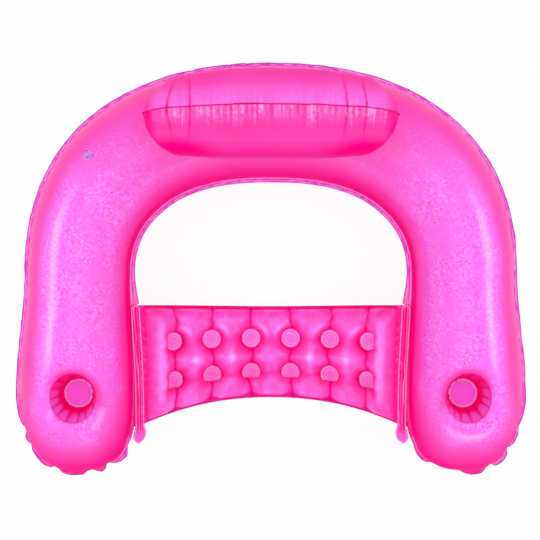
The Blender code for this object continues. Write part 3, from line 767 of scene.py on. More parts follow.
@dataclass
class Tube:
    """The U-shaped tube: a superellipse arch, two arms and their rounded tips."""

    flange: float = 0.0138
    solid_flange: float = 0.014
    arch_half_width: float = 0.501
    arch_rise: float = 0.409
    arch_power: float = 2.35
    arm_length: float = 0.279
    arm_splay: float = 0.0065
    tip_length: float = 0.222
    tip_powers: tuple[float, float] = (2.15, 3.0)
    back_radius: float = 0.143
    arm_radius: float = 0.131
    tip_radius: float = 0.146
    equator: float = 0.146
    floor_flat: float = 0.0005
    # The can holder's place, its mouth and the dish round it
    cup_inboard: float = 0.017
    cup_forward: float = 0.009
    cup_sink: float = 0.014
    cup_mouth: float = 0.059
    cup_tucked: float = 0.0095
    cup_oval: tuple[float, float] = (0.96, 1.045)
    cup_dish: float = 0.048
    cup_gathers: int = 16
    gather_depth: float = 0.0008
    gather_start: float = 0.01
    gather_reach: float = 0.02
    cup_shade: float = 0.017
    shade_spread: float = 0.75
    # The arc of light on each tip: the middle of its turn and its reach in degrees, and its
    # strength; then the left tip's spot of light, and how far above the weld both begin
    shine_centre: tuple[float, float] = (0.4955, -0.338)
    shine_radius: float = 0.076
    shine_width: float = 0.0062
    shine_right: tuple[float, float, float] = (95, 46, 0.8)
    shine_left: tuple[float, float, float] = (157, 26, 0.55)
    spot_place: tuple[float, float] = (0.053, 0.017)
    spot_size: tuple[float, float] = (0.006, 0.01)
    spot_strength: float = 0.45
    shine_lift: float = 0.05
    # The web of vinyl between the inner flange and the seat's rear corner
    web_reach: float = 0.0105
    web_length: float = 0.075
    web_y: float = -0.086
    web_fade: float = 0.06
    web_power: float = 1.3
    seat_place: float = 2.75
    seat_fade: float = 0.02
    pillow_sink: float = 0.007
    pillow_reach: float = 0.3
    pillow_margin: float = 0.06
    pillow_rise: float = 0.1
    arch_columns: int = 170
    arm_columns: int = 46
    tip_columns: int = 216
    flange_rows: int = 7
    section_rows: int = 34
    row_crowding: float = 1.25
    # Folds behind the tips' notches, puckers along the weld, slack vinyl and the wavy edge
    notch_width: float = 0.012
    notch_fade: float = 0.013
    pull_width: float = 0.007
    pull_reach: float = 0.02
    fold_depth: float = 0.0065
    fold_reach: float = 0.05
    pucker_depth: float = 0.0022
    pucker_spacing: float = 0.034
    pucker_width: float = 0.0045
    pucker_reach: float = 0.02
    pucker_calm: float = 0.45
    calm_place: float = 1.6
    joint_fade: float = 0.05
    slack_depth: float = 0.0011
    slack_period: float = 0.07
    slack_start: float = 0.01
    edge_wave: float = 0.0045
    edge_waves: tuple[tuple[float, float, int], ...] = ((0.6, 0.034, 31), (0.4, 0.013, 37))
    edge_calm: float = 0.35
    edge_power: float = 1.4
    notch_lift: float = 0.005
    # Painted shade at the back, in folds and puckers; and the painted sheen on the outer flank
    back_shade: tuple[float, float] = (0.26, 0.85)
    fold_shade: float = 0.55
    pucker_shade: float = 0.3
    flank_sheen_degrees: tuple[float, float] = (38, 18)
    flank_sheen_strength: float = 0.85
    # Each tip's lowest place, in degrees round it, and how far round the flange is calm and the
    # painted light starts early
    lowest_degrees: float = 93.0
    lowest_spreads: tuple[float, float] = (24, 45)

    @property
    def foot_y(self) -> float:
        """Where the arch ends and the arms begin, so that the outline is centred on y = 0."""
        back = self.solid_flange + self.back_radius + self.arch_rise
        return (self.solid_flange + self.tip_length + self.arm_length - back) / 2

    @property
    def arm_end(self) -> Array:
        """The middle of the arm tip, in plan."""
        return np.array([self.arch_half_width + self.arm_splay, self.foot_y - self.arm_length])

    @property
    def cup(self) -> Array:
        """The can holder's axis and rim height.

        Returns:
            The x and y of the right-hand one's axis, and its rim's height.
        """
        x, y = self.arm_end
        rim = self.equator + self.tip_radius - self.cup_sink
        return np.array([x - self.cup_inboard, y - self.cup_forward, rim])

    @property
    def pillow_floor(self) -> float:
        """The height at which the pillow sits."""
        return self.equator + self.back_radius - self.pillow_sink

    def spine(self, station: Array) -> tuple[Array, Array, Array]:
        """Follow the middle of the tube.

        Args:
            station: 0 is the middle of the back, 1 the arch's foot and 2 the arm's end.

        Returns:
            Plan points, outward directions in plan and half widths.
        """
        turn = np.clip(station, 0, 1) * math.pi / 2
        across = np.sin(turn) ** (2 / self.arch_power)
        along = np.maximum(np.cos(turn), 0) ** (2 / self.arch_power)
        down = np.clip(station - 1, 0, 1)
        x = self.arch_half_width * across + self.arm_splay * eased(down)
        y = self.foot_y + self.arch_rise * along - self.arm_length * down
        steep = self.arch_power - 1
        out_x = across**steep / self.arch_half_width
        out_y = along**steep / self.arch_rise
        slope = self.arm_splay * 6 * down * (1 - down) / self.arm_length
        out_y = np.where(station > 1, slope / self.arch_half_width, out_y)
        outward = np.stack([out_x, out_y], 1)
        outward /= np.linalg.norm(outward, axis=1, keepdims=True)
        radius = mixed(self.back_radius, self.arm_radius, eased((station - 0.5) / 0.5))
        radius = mixed(radius, self.tip_radius, eased(down))
        return np.stack([x, y], 1), outward, radius

    def ray(self, place: Array) -> tuple[Array, Array, Array, Array]:
        """Look out from the spine at a place round half the outline.

        Args:
            place: 0 to 2 is the outer side, 2 to 3 the tip and 3 to 5 the inner side.

        Returns:
            Plan centres, plan directions, reaches and section heights.
        """
        inner = place >= 3
        centre, outward, radius = self.spine(np.where(inner, 5 - place, np.minimum(place, 2)))
        outward = np.where(inner[:, None], -outward, outward)
        reach, height = radius.copy(), radius.copy()
        tip = (place > 2) & (place < 3)
        turn = (place[tip] - 2) * math.pi
        across = np.abs(np.cos(turn)) / self.tip_radius
        along = np.sin(turn) / self.tip_length
        power = np.where(place[tip] < 2.5, *self.tip_powers)
        reach[tip] = (across**power + along**power) ** (-1 / power)
        height[tip] = self.tip_radius
        centre[tip] = self.arm_end
        outward[tip] = np.stack([np.cos(turn), -np.sin(turn)], 1)
        return centre, outward, reach, height

    def outline(self) -> tuple[Array, Array, Array]:
        """Places and hands round the whole outline, and distances along its weld.

        Returns:
            For each column the place round half the outline, the hand and the distance.
        """
        counts = [self.arch_columns, self.arm_columns, self.tip_columns, self.arm_columns]
        knots = np.cumsum([0, *counts, self.arch_columns])
        half = knots[-1]
        column = np.arange(2 * half + 1)
        folded = np.where(column <= half, column, 2 * half - column)
        place = np.interp(folded, knots, np.arange(len(knots)))
        hand = np.where(column <= half, 1.0, -1.0)
        centre, outward, reach, _ = self.ray(place)
        edge = centre + outward * reach[:, None]
        edge[:, 0] *= hand
        steps = np.linalg.norm(np.diff(edge, axis=0), axis=1)
        return place, hand, np.concatenate([[0], np.cumsum(steps)])

    def edge_width(self, place: Array, hand: Array) -> Array:
        """How wide the flange is: even along the arms, and scalloped round the tips.

        Args:
            place: Places round half the outline.
            hand: 1 on the right and -1 on the left.

        Returns:
            The flange's width at each place.
        """
        degrees = np.clip(place - 2, 0, 1) * 180
        left, right = read_off(LEFT_SCALLOPS, degrees), read_off(RIGHT_SCALLOPS, degrees)
        tip = (place > 2) & (place < 3)
        return np.where(tip, np.where(hand < 0, left, right) / 1000, self.flange)

    def sheet(self, side: Side, valves: list[ValvePlace], vinyl: Graph) -> bpy.types.Object:
        """Model the upper or the lower half of the tube.

        Args:
            side: Which half.
            valves: The valves that sit on it.
            vinyl: Its finish.

        Returns:
            The finished piece.
        """
        up = side.value
        place_of, hand_of, distance_of = self.outline()
        name = "tube_upper_skin" if side is Side.UP else "tube_lower_skin"
        piece, column, row = grid(name, len(place_of) - 1, self.flange_rows + self.section_rows)
        column = column.astype(int)
        place, hand, along = place_of[column], hand_of[column], distance_of[column]
        length = distance_of[-1]
        centre, outward, reach, height = self.ray(place)
        widest = self.edge_width(place, hand)
        tip = (place > 2) & (place < 3)
        notch = np.where(tip, eased((self.notch_width - widest) / self.notch_fade), 0)
        pull = np.where(tip, np.clip(self.pull_width - widest, 0, self.notch_width), 0)

        fin = np.clip(1 - row / self.flange_rows, 0, 1)
        share = np.clip((row - self.flange_rows) / self.section_rows, 0, 1) ** self.row_crowding
        turn = share * math.pi / 2
        rise = np.sin(turn)
        if side is Side.DOWN:
            rise = np.minimum(1, rise * (self.equator + self.floor_flat) / self.equator)
            height = np.full_like(height, self.equator)

        off_weld = reach * turn
        fade = np.exp(-off_weld / self.pucker_reach) * (share < 1)
        pucker = creases(along, self.pucker_spacing, self.pucker_width, seed=11 + up)
        pucker *= eased(np.minimum(along, length - along) / self.joint_fade)
        depth = self.pucker_depth * pucker * fade * np.where(place < self.calm_place, 1.0, self.pucker_calm)
        fold = notch * bell(off_weld, self.fold_reach) * (1 - share)
        slack = self.slack_depth * wander(along, self.slack_period, seed=23 + up, loop=length)
        slack *= (1 - np.exp(-off_weld / self.slack_start)) * (1 - share) ** 0.5
        inward = depth + self.fold_depth * fold + slack + pull * np.exp(-off_weld / self.pull_reach)

        past = (centre[:, 1] - self.web_y) / self.web_length
        web = np.clip(1 - past, 0, 1) ** self.web_power * eased(past / self.web_fade + 1) * (place >= 3)
        by_seat = (place > self.seat_place) * (1 - eased((centre[:, 1] - self.web_y) / self.seat_fade))
        widest = widest + pull + self.web_reach * web
        radial = reach * np.cos(turn) + fin * widest - inward * np.cos(turn)
        lift = SEAM_LIFT + (height - SEAM_LIFT) * rise - inward * rise
        wave = sum(part * wander(along, *noise, loop=length) for part, *noise in self.edge_waves)
        wave *= np.where(place < 2, 1.0, self.edge_calm) * (1 - by_seat)
        wave = self.edge_wave * wave + self.notch_lift * notch
        points = np.empty((len(row), 3))
        points[:, :2] = centre + outward * radial[:, None]
        points[:, 2] = self.equator + up * lift + fin**self.edge_power * wave

        mouth, shade = np.zeros(len(row), bool), np.zeros(len(row))
        if side is Side.UP:
            points[:, 2] = self.under_pillow(points)
            points, mouth, shade = self.round_cup(points)
        else:
            points[:, 2] = np.maximum(points[:, 2], 0)
        points[:, 0] *= hand
        points, holes = press_valves(points, valves)
        shape(piece, points)
        # Painted shade in folds and puckers, and on the can holder's rear side
        folded = fold + self.pucker_shade * pucker * fade + shade
        self.tint(piece, place, turn, fin, folded, (web, by_seat))
        return sew(piece, (along, off_weld + fin * self.flange), Vector((0, 0, up)), vinyl, mouth | holes)

    def tint(
        self,
        piece: bpy.types.Object,
        place: Array,
        turn: Array,
        fin: Array,
        folded: Array,
        by: tuple[Array, Array],
    ) -> None:
        """Store on each corner of a tube sheet its painted light and shade, the painted sheen on its outer
        flank, painted highlights, and its flange's colour and dark edge.

        Args:
            piece: The sheet.
            place: The corners' places round the outline.
            turn: Their angles up the section, from the weld.
            fin: 0 on the weld and 1 on the flange's edge.
            folded: How much painted shade the corners take in a fold, a pucker or a can holder's shade.
            by: Whether they are in the web above the seat, and beside the seat.
        """
        web, by_seat = by
        degrees = np.degrees(turn)
        inner, on_fin = place >= 2.5, fin > 0
        station = np.where(place >= 3, 5 - place, np.minimum(place, 2))
        # Painted shade at the back of the arch, easing off towards the arms
        gain = eased((station - 0.2) / 0.75)
        round_tip = np.clip(place - 2, 0, 1) * 180
        tipness = np.sqrt(np.maximum(0, np.sin(np.radians(round_tip))))
        lowest, low = (bell(round_tip - self.lowest_degrees, spread) for spread in self.lowest_spreads)

        # Painted light by the angle up the section, and round the tips by a ramp of their own
        inner_painted_light, outer_painted_light = read_off(INNER_PAINTED_LIGHT, degrees), read_off(OUTER_PAINTED_LIGHT, degrees)
        loss, share = self.back_shade
        inner_painted_light = mixed(np.maximum(0, inner_painted_light - loss) * share, inner_painted_light, gain)
        outer_painted_light = 0.5 + (outer_painted_light - 0.5) * mixed(0.1, 1, gain)
        pearl = np.where(inner, inner_painted_light, outer_painted_light)
        pearl = mixed(pearl, np.clip((degrees - 6 - 14 * low) / (58 - 8 * low), 0, 1), tipness)
        # Painted sheen on the outer flank, low on the side, off the tips and off the flange
        start, spread = self.flank_sheen_degrees
        warm = (1 - eased((degrees - start) / spread)) * ~inner * (1 - tipness) * ~on_fin
        calm = (1 - 0.85 * lowest) * (1 - 0.8 * by_seat) * (1 - 0.5 * web)
        # Painted shade in folds, puckers and a can holder's shade; painted highlights on the web over the
        # flange and in the arc and spot of light on the tips
        mark(
            piece,
            pearl=pearl - self.fold_shade * folded * (1 - on_fin),
            warm=warm * self.flank_sheen_strength,
            fin=eased(fin * self.flange_rows) * calm,
            out=fin,
            rim=np.where(inner & (tipness < 0.3), 0.45, 0.9),
            pale=0.45 * web * on_fin + self.shine(corners(piece)) * ~on_fin,
        )

    def shine(self, points: Array) -> Array:
        """The soft arc of light on each tip, in front of its can holder.

        Args:
            points: The sheet's finished corners.

        Returns:
            How bright the arc is on each corner.
        """
        x, y = np.abs(points[:, 0]) - self.shine_centre[0], self.shine_centre[1] - points[:, 1]
        right = points[:, 0] > 0
        both = zip(self.shine_right, self.shine_left)
        middle, reach, strength = (np.where(right, *pair) for pair in both)
        off_middle = (np.degrees(np.arctan2(y, x)) - middle) / reach
        arc = bell(np.hypot(x, y) - self.shine_radius, self.shine_width) * np.exp(-(off_middle**4))
        (spot_x, spot_y), (wide, deep) = self.spot_place, self.spot_size
        spot = bell(x - spot_x, wide) * bell(y - spot_y, deep) * ~right
        light = arc * strength + self.spot_strength * spot
        return light * (points[:, 2] > self.equator + self.shine_lift)

    def under_pillow(self, points: Array) -> Array:
        """Heights of the upper sheet, pressed down softly where the pillow sits.

        Args:
            points: The sheet's corners.

        Returns:
            Their heights.
        """
        z = points[:, 2]
        near = 1 - eased((points[:, 0] - self.pillow_reach) / self.pillow_margin)
        near *= eased(points[:, 1] / self.pillow_rise)
        return z - np.maximum(z - self.pillow_floor, 0) * near

    def round_cup(self, points: Array) -> tuple[Array, Array, Array]:
        """Draw the upper sheet down to the can holder's rim, and open its mouth.

        Args:
            points: The sheet's corners, on the right-hand side.

        Returns:
            The drawn corners, which of them lie in the mouth, and how shaded each is.
        """
        points = points.copy()
        x, y, rim = self.cup
        offset = (points[:, :2] - np.array([x, y])) / np.array(self.cup_oval)
        away = np.linalg.norm(offset, axis=1)
        past = away - self.cup_mouth
        upper = points[:, 2] > self.equator + self.cup_dish
        angle = np.arctan2(offset[:, 1], offset[:, 0])
        gather = self.gather_depth * np.cos(self.cup_gathers * angle) * bell(past, self.gather_reach)
        drawn = mixed(rim, points[:, 2], rounded(past / self.cup_dish))
        drawn += gather * eased(past / self.gather_start)
        points[:, 2] = np.where(upper & (past < self.cup_dish), drawn, points[:, 2])
        gone = upper & (past < -self.cup_tucked)
        snapped = upper & (past < 0) & ~gone
        round_edge = offset[snapped] / away[snapped, None] * self.cup_mouth
        points[snapped, :2] = np.array([x, y]) + round_edge * np.array(self.cup_oval)
        points[snapped, 2] = rim
        return points, gone, bell(past, self.cup_shade) * rearward(angle, self.shade_spread) * upper


# The can holders


@dataclass
class CanHolder:
    """A pleated well with a round floor, welded into an arm's tip."""

    tube: Tube
    hand: Hand
    foot: float = 0.037
    depth: float = 0.072
    taper: float = 0.9
    lip: float = 0.0012
    lip_flatness: float = 0.8
    lip_rows: int = 6
    pleats: int = 14
    pleat_depth: float = 0.0062
    pleat_shift: float = 0.25
    pleat_period: float = 0.4
    pleat_width: float = 0.07
    # How wide the painted shade in the pleats is, at the top and at the bottom
    pleat_shade_widths: tuple[float, float] = (0.05, 0.28)
    shade_spread: float = 0.8
    belly: float = 0.0022
    columns: int = 256
    rows: int = 44
    floor_columns: int = 96
    floor_rows: int = 30
    floor_margin: float = 0.0015
    floor_lift: float = 0.0002
    bead: float = 0.0013
    bead_rise: float = 0.7
    bead_inset: float = 0.0028
    dome: float = 0.0012
    dome_share: float = 0.86
    dent: float = 0.0004
    dent_period: float = 0.012

    def place(self, piece: bpy.types.Object, radius: Array, angle: Array, z: Array, oval: Array) -> None:
        """Move a round piece's corners to their places about the can holder's axis.

        Args:
            piece: The piece.
            radius: The corners' distances from the axis.
            angle: Their angles round it.
            z: Their heights.
            oval: How the mouth's shape stretches them each way.
        """
        x0, y0, _ = self.tube.cup
        x = x0 + radius * np.cos(angle) * oval[:, 0]
        y = y0 + radius * np.sin(angle) * oval[:, 1]
        shape(piece, np.stack([x * self.hand.value, y, z], 1))

    def well(self, vinyl: Graph) -> bpy.types.Object:
        """The pleated wall and its rolled rim.

        Args:
            vinyl: Its finish.

        Returns:
            The finished piece.
        """
        piece, column, row = grid(f"can_holder_wall_{self.hand.name.lower()}", self.columns, self.rows)
        mouth, rim = self.tube.cup_mouth, self.tube.cup[2]
        angle = column / self.columns * 2 * math.pi
        down = np.clip((row - self.lip_rows) / (self.rows - self.lip_rows), 0, 1)
        shift = self.pleat_shift * wander(angle, self.pleat_period, 41 + self.hand.value, 2 * math.pi)
        wave = angle * self.pleats / (2 * math.pi) + shift
        gap = np.abs(wave - np.round(wave))
        fold = np.exp(-gap / self.pleat_width)
        belly = 1 - (2 * gap - 1) ** 2
        deepest = np.sin(down * math.pi) ** 0.5
        radius = mixed(mouth, self.foot, down**self.taper)
        radius += deepest * (self.belly * belly - self.pleat_depth * fold)
        roll = np.clip(row / self.lip_rows, 0, 1) * math.pi
        lip = row <= self.lip_rows
        radius = np.where(lip, mouth + self.lip * np.cos(roll), radius)
        z = np.where(lip, rim + self.lip * np.sin(roll) * self.lip_flatness, rim - self.depth * down)
        self.place(piece, radius, angle, z, mixed(np.array(self.tube.cup_oval), 1.0, down[:, None]))

        # Painted light on the pleats' bellies; painted shade in their folds, low down, just under the lip
        # and on the rear side; a dark weld line under the lip and painted shade along the folds
        pleat_shade = np.exp(-gap / mixed(*self.pleat_shade_widths, down**1.3))
        pearl = 0.8 + 0.2 * belly * deepest - 0.9 * pleat_shade * deepest - 0.95 * eased((down - 0.45) / 0.4)
        pearl = np.where(lip, 0.6, pearl - 0.15 * (1 - eased(down / 0.2)))
        line = bell(row - self.lip_rows, 1.2)
        mark(
            piece,
            pearl=pearl * (1 - 0.85 * rearward(angle, self.shade_spread)),
            dark=0.85 * line + 0.45 * fold**2 * deepest,
        )
        return sew(piece, (angle * mouth, down * self.depth), Vector((0, 0, 1)), vinyl)

    def floor(self, vinyl: Graph) -> bpy.types.Object:
        """The round floor with the weld bead round it.

        Args:
            vinyl: Its finish.

        Returns:
            The finished piece.
        """
        name = f"can_holder_floor_{self.hand.name.lower()}"
        piece, column, row = grid(name, self.floor_columns, self.floor_rows)
        angle = column / self.floor_columns * 2 * math.pi
        share = row / self.floor_rows
        radius = share * (self.foot + self.floor_margin)
        bead = bell(radius - (self.foot - self.bead_inset), self.bead)
        dents = dimples(radius * np.cos(angle), radius * np.sin(angle), self.dent_period, seed=3)
        dome = self.dome * (1 - share**2) + self.dent * dents
        z = self.tube.cup[2] - self.depth + self.floor_lift + self.bead_rise * self.bead * bead
        z += dome * (share < self.dome_share)
        self.place(piece, radius, angle, z, np.ones((len(row), 2)))
        # Painted shade towards the wall's foot, and a painted highlight on the weld bead
        mark(piece, pearl=1.0 - 0.15 * share**4, pale=bead * 1.1)
        return sew(piece, (angle * self.foot, radius), Vector((0, 0, 1)), vinyl)


# The pillow


@dataclass
class Pillow:
    """The bolster on the back of the tube: two sheets with an upright weld."""

    tube: Tube
    half_length: float = 0.3
    rear_depth: float = 0.0965
    front_depth: float = 0.117
    height: float = 0.198
    flange: float = 0.003
    bow: float = 0.015
    taper: float = 0.11
    centre_share: float = 0.47
    end_power: float = 0.74
    end_bulge: float = 1.1
    side_columns: int = 190
    end_columns: int = 90
    flange_rows: int = 3
    rows: int = 46
    row_crowding: float = 1.2
    above_tube: float = 0.0003
    weld_fade: float = 0.02
    end_turn: float = 0.7
    upper_start: float = -0.05
    upper_rise: float = 0.08
    # Puckers and crests along the weld, groups of several crests, and how weak they and their painted
    # glints and shade are behind
    pucker_spacing: float = 0.0115
    pucker_width: float = 0.0032
    pucker_depth: float = 0.0032
    pucker_reach: float = 0.029
    pucker_start: float = 0.003
    crest_height: float = 0.0016
    crest_period: float = 0.024
    crest_break: float = 0.0055
    crest_power: float = 1.5
    reach_period: float = 0.012
    gather_spacing: float = 0.027
    gather_width: float = 0.006
    gathered_half: float = 0.255
    rear_puckers: float = 0.12
    rear_glint_and_shade: float = 0.15
    crease_places: tuple[float, ...] = (-0.237, -0.187, 0.170, 0.219)
    crease_depth: float = 0.004
    crease_width: float = 0.0018
    crease_bow: float = 0.004
    crease_reach: float = 0.06
    slack_depth: float = 0.0022
    slack_period: float = 0.05
    edge_wave: float = 0.002
    edge_period: float = 0.02
    # Degrees away from the weld, and the painted light there, on the rear and the front sheet
    rear_degrees: tuple[float, ...] = (0, 23, 34, 46, 56, 65, 75, 90)
    rear_painted_light: tuple[float, ...] = (0.85, 0.7, 0.54, 0.46, 0.38, 0.3, 0.2, 0.15)
    front_degrees: tuple[float, ...] = (0, 8, 12, 15, 18, 25, 32, 42, 51, 63, 71, 90)
    front_painted_light: tuple[float, ...] = (0.6, 0.6, 0.58, 0.58, 0.5, 0.43, 0.47, 0.48, 0.42, 0.3, 0.22, 0.25)

    def ray(self, place: Array) -> tuple[Array, Array, Array]:
        """Look out from the pillow's middle, round its upright outline.

        Args:
            place: 0 to 4, for the top, the right end, the bottom and the left end.

        Returns:
            Centres along x, upright directions (x, z) and reaches.
        """
        half = self.height / 2
        spine = self.half_length - half
        leg = np.minimum(place.astype(int), 3)
        share = place - leg
        flat = leg % 2 == 0
        run = (2 * share - 1) * np.where(leg == 0, 1, -1)
        turn = math.pi * share
        hand = np.where(leg == 1, 1, -1)
        x = np.where(flat, 0, np.sin(turn) * hand)
        z = np.where(flat, 1 - leg, np.cos(turn) * hand)
        total = np.abs(x) ** (2 / self.end_power) + np.abs(z) ** (2 / self.end_power)
        reach = np.where(flat, half, half * total ** (-self.end_power / 2))
        return np.where(flat, spine * run, spine * hand), np.stack([x, z], 1), reach

    def sheet(self, side: Side, valves: list[ValvePlace], vinyl: Graph) -> bpy.types.Object:
        """Model the rear or the front sheet.

        Args:
            side: UP is the rear sheet and DOWN the front one.
            valves: The valves that sit on it.
            vinyl: Its finish.

        Returns:
            The finished piece.
        """
        counts = [self.side_columns, self.end_columns, self.side_columns, self.end_columns]
        knots = np.cumsum([0, *counts])
        rows = self.flange_rows + self.rows
        name = "pillow_rear_skin" if side is Side.UP else "pillow_front_skin"
        piece, column, row = grid(name, int(knots[-1]), rows)
        place = np.interp(column, knots, np.arange(5.0))
        place = np.where(place >= 4, 0, place)
        centre, direction, reach = self.ray(place)
        fin = np.clip(1 - row / self.flange_rows, 0, 1)
        turn = np.clip((row - self.flange_rows) / self.rows, 0, 1) ** self.row_crowding * math.pi / 2
        bulge = mixed(1, self.end_bulge, np.abs(direction[:, 0]))
        middle = self.tube.pillow_floor + self.height * self.centre_share
        lowest = self.tube.pillow_floor + self.above_tube
        rim_x = centre + direction[:, 0] * reach
        rim_z = direction[:, 1] * reach
        along = rim_x + np.where(np.abs(direction[:, 0]) > 0, rim_z * self.end_turn * np.sign(rim_x), 0)
        upper = eased((rim_z - self.upper_start) / self.upper_rise)
        depth = self.rear_depth if side is Side.UP else self.front_depth
        depth = depth * (1 - self.taper * np.abs(centre / (self.half_length - self.height / 2)) ** 3)
        off_weld = depth * turn

        pucker, crest = (
            creases(along + AHEAD, self.pucker_spacing, self.pucker_width, seed) for seed in (61, 62)
        )
        gather = creases(along + AHEAD, self.gather_spacing, self.gather_width, seed=64)
        uneven = eased(0.6 + 0.6 * wander(along + FARTHEST, self.crest_period, seed=78))
        crest = crest**self.crest_power * (0.45 + 0.55 * uneven)
        crest = np.maximum(crest, 0.85 * gather**self.crest_power)
        crest *= 1 - eased((np.abs(rim_x) - self.gathered_half) / 0.02)
        reach_of = self.pucker_reach * (1 + 0.45 * wander(along + AHEAD, self.reach_period, seed=67))
        fade = np.exp(-((off_weld / reach_of) ** 3)) * eased(off_weld / self.pucker_start) * upper
        strong = 1.0 if side is Side.DOWN else self.rear_puckers
        inward = (self.pucker_depth * pucker - self.crest_height * crest) * fade * strong
        long_crease = np.zeros_like(inward)
        for number, where in enumerate(self.crease_places):
            bow = where + self.crease_bow * np.sin(off_weld * 30 + number)
            long_crease = np.maximum(long_crease, np.exp(-np.abs(rim_x - bow) / self.crease_width))
        long_crease *= bell(off_weld, self.crease_reach) * upper
        inward += self.crease_depth * long_crease
        slack = self.slack_depth * wander(along + FURTHER, self.slack_period, seed=71)
        inward += slack * eased(off_weld / 0.03) * np.cos(turn)

        out = np.maximum(0, np.cos(turn)) ** bulge * reach
        free = middle + rim_z > lowest
        out += self.flange * fin * free * eased((middle + rim_z - lowest) / self.weld_fade)
        out -= inward * np.cos(turn)
        thick = SEAM_LIFT + (depth - SEAM_LIFT) * np.sin(turn) ** bulge
        thick -= inward * np.sin(turn)
        x = centre + direction[:, 0] * out
        bowed = self.bow * (0.5 - (x / self.half_length) ** 2)
        y = self.tube.foot_y + self.tube.arch_rise + bowed + side.value * thick
        y += fin * self.edge_wave * wander(along + AHEAD, self.edge_period, seed=73)
        points = np.stack([x, y, np.maximum(lowest, middle + direction[:, 1] * out)], 1)
        points, gone = press_valves(points, valves)
        shape(piece, points)
        # Painted glints on the crests, broken up; painted shade in the puckers and on the lower half
        broken = dimples(along + FURTHER, off_weld + 1.0, self.crest_break, seed=79)
        broken = 0.6 + 0.55 * broken * eased(off_weld / 0.012)
        glints_and_shade = crest * fade * broken, pucker * fade, eased(-rim_z / 0.03)
        self.tint(piece, side, np.degrees(turn), x, fin, long_crease, glints_and_shade)
        return sew(piece, (along, off_weld), Vector((0, side.value, 0)), vinyl, gone)

    def tint(
        self,
        piece: bpy.types.Object,
        side: Side,
        degrees: Array,
        x: Array,
        fin: Array,
        long_crease: Array,
        glints_and_shade: tuple[Array, Array, Array],
    ) -> None:
        """Store on each corner of a pillow sheet its painted light and shade, the painted sheen where the
        rear sheet turns away, painted glints and dark lines.

        Args:
            piece: The sheet.
            side: UP is the rear sheet and DOWN the front one.
            degrees: The corners' angles away from the weld.
            x: Where they are along the pillow.
            fin: 0 on the weld and 1 on the flange's edge.
            long_crease: How deep they lie in a long crease.
            glints_and_shade: The painted glints on crests, the painted shade in puckers, and how far each
                corner is on the lower half, which takes painted shade at the front's ends.
        """
        crest, pucker, lower = glints_and_shade
        if side is Side.UP:
            pearl = np.interp(degrees, self.rear_degrees, self.rear_painted_light)
            # Painted sheen where the rear sheet turns away at a glancing angle
            warm = eased((degrees - 48) / 22) * 0.6
            strong = self.rear_glint_and_shade
        else:
            pearl = np.interp(degrees, self.front_degrees, self.front_painted_light)
            # Painted shade at the front sheet's ends, on their turned and lower parts
            turned = np.maximum(eased((degrees - 30) / 30), lower)
            corner = eased((np.abs(x) - 0.09) / 0.17) * turned
            pearl = pearl - 0.55 * corner
            warm = np.zeros_like(x)
            strong = 1.0
        # Painted shade in puckers and long creases, and towards the ends
        pearl = pearl - 0.65 * pucker * strong - 0.5 * long_crease
        pearl = pearl - 0.55 * eased((np.abs(x) - self.gathered_half) / 0.045)
        # Painted glints on the crests; the long creases dark as painted shade, and a dark line along the
        # weld
        mark(
            piece,
            pearl=np.where(fin > 0, 0.15, pearl) * eased(degrees / 1.1 + 0.35),
            warm=warm,
            pale=2.1 * crest * strong,
            dark=0.75 * long_crease**1.5 + 0.25 * bell(degrees, 0.5),
        )


# The seat


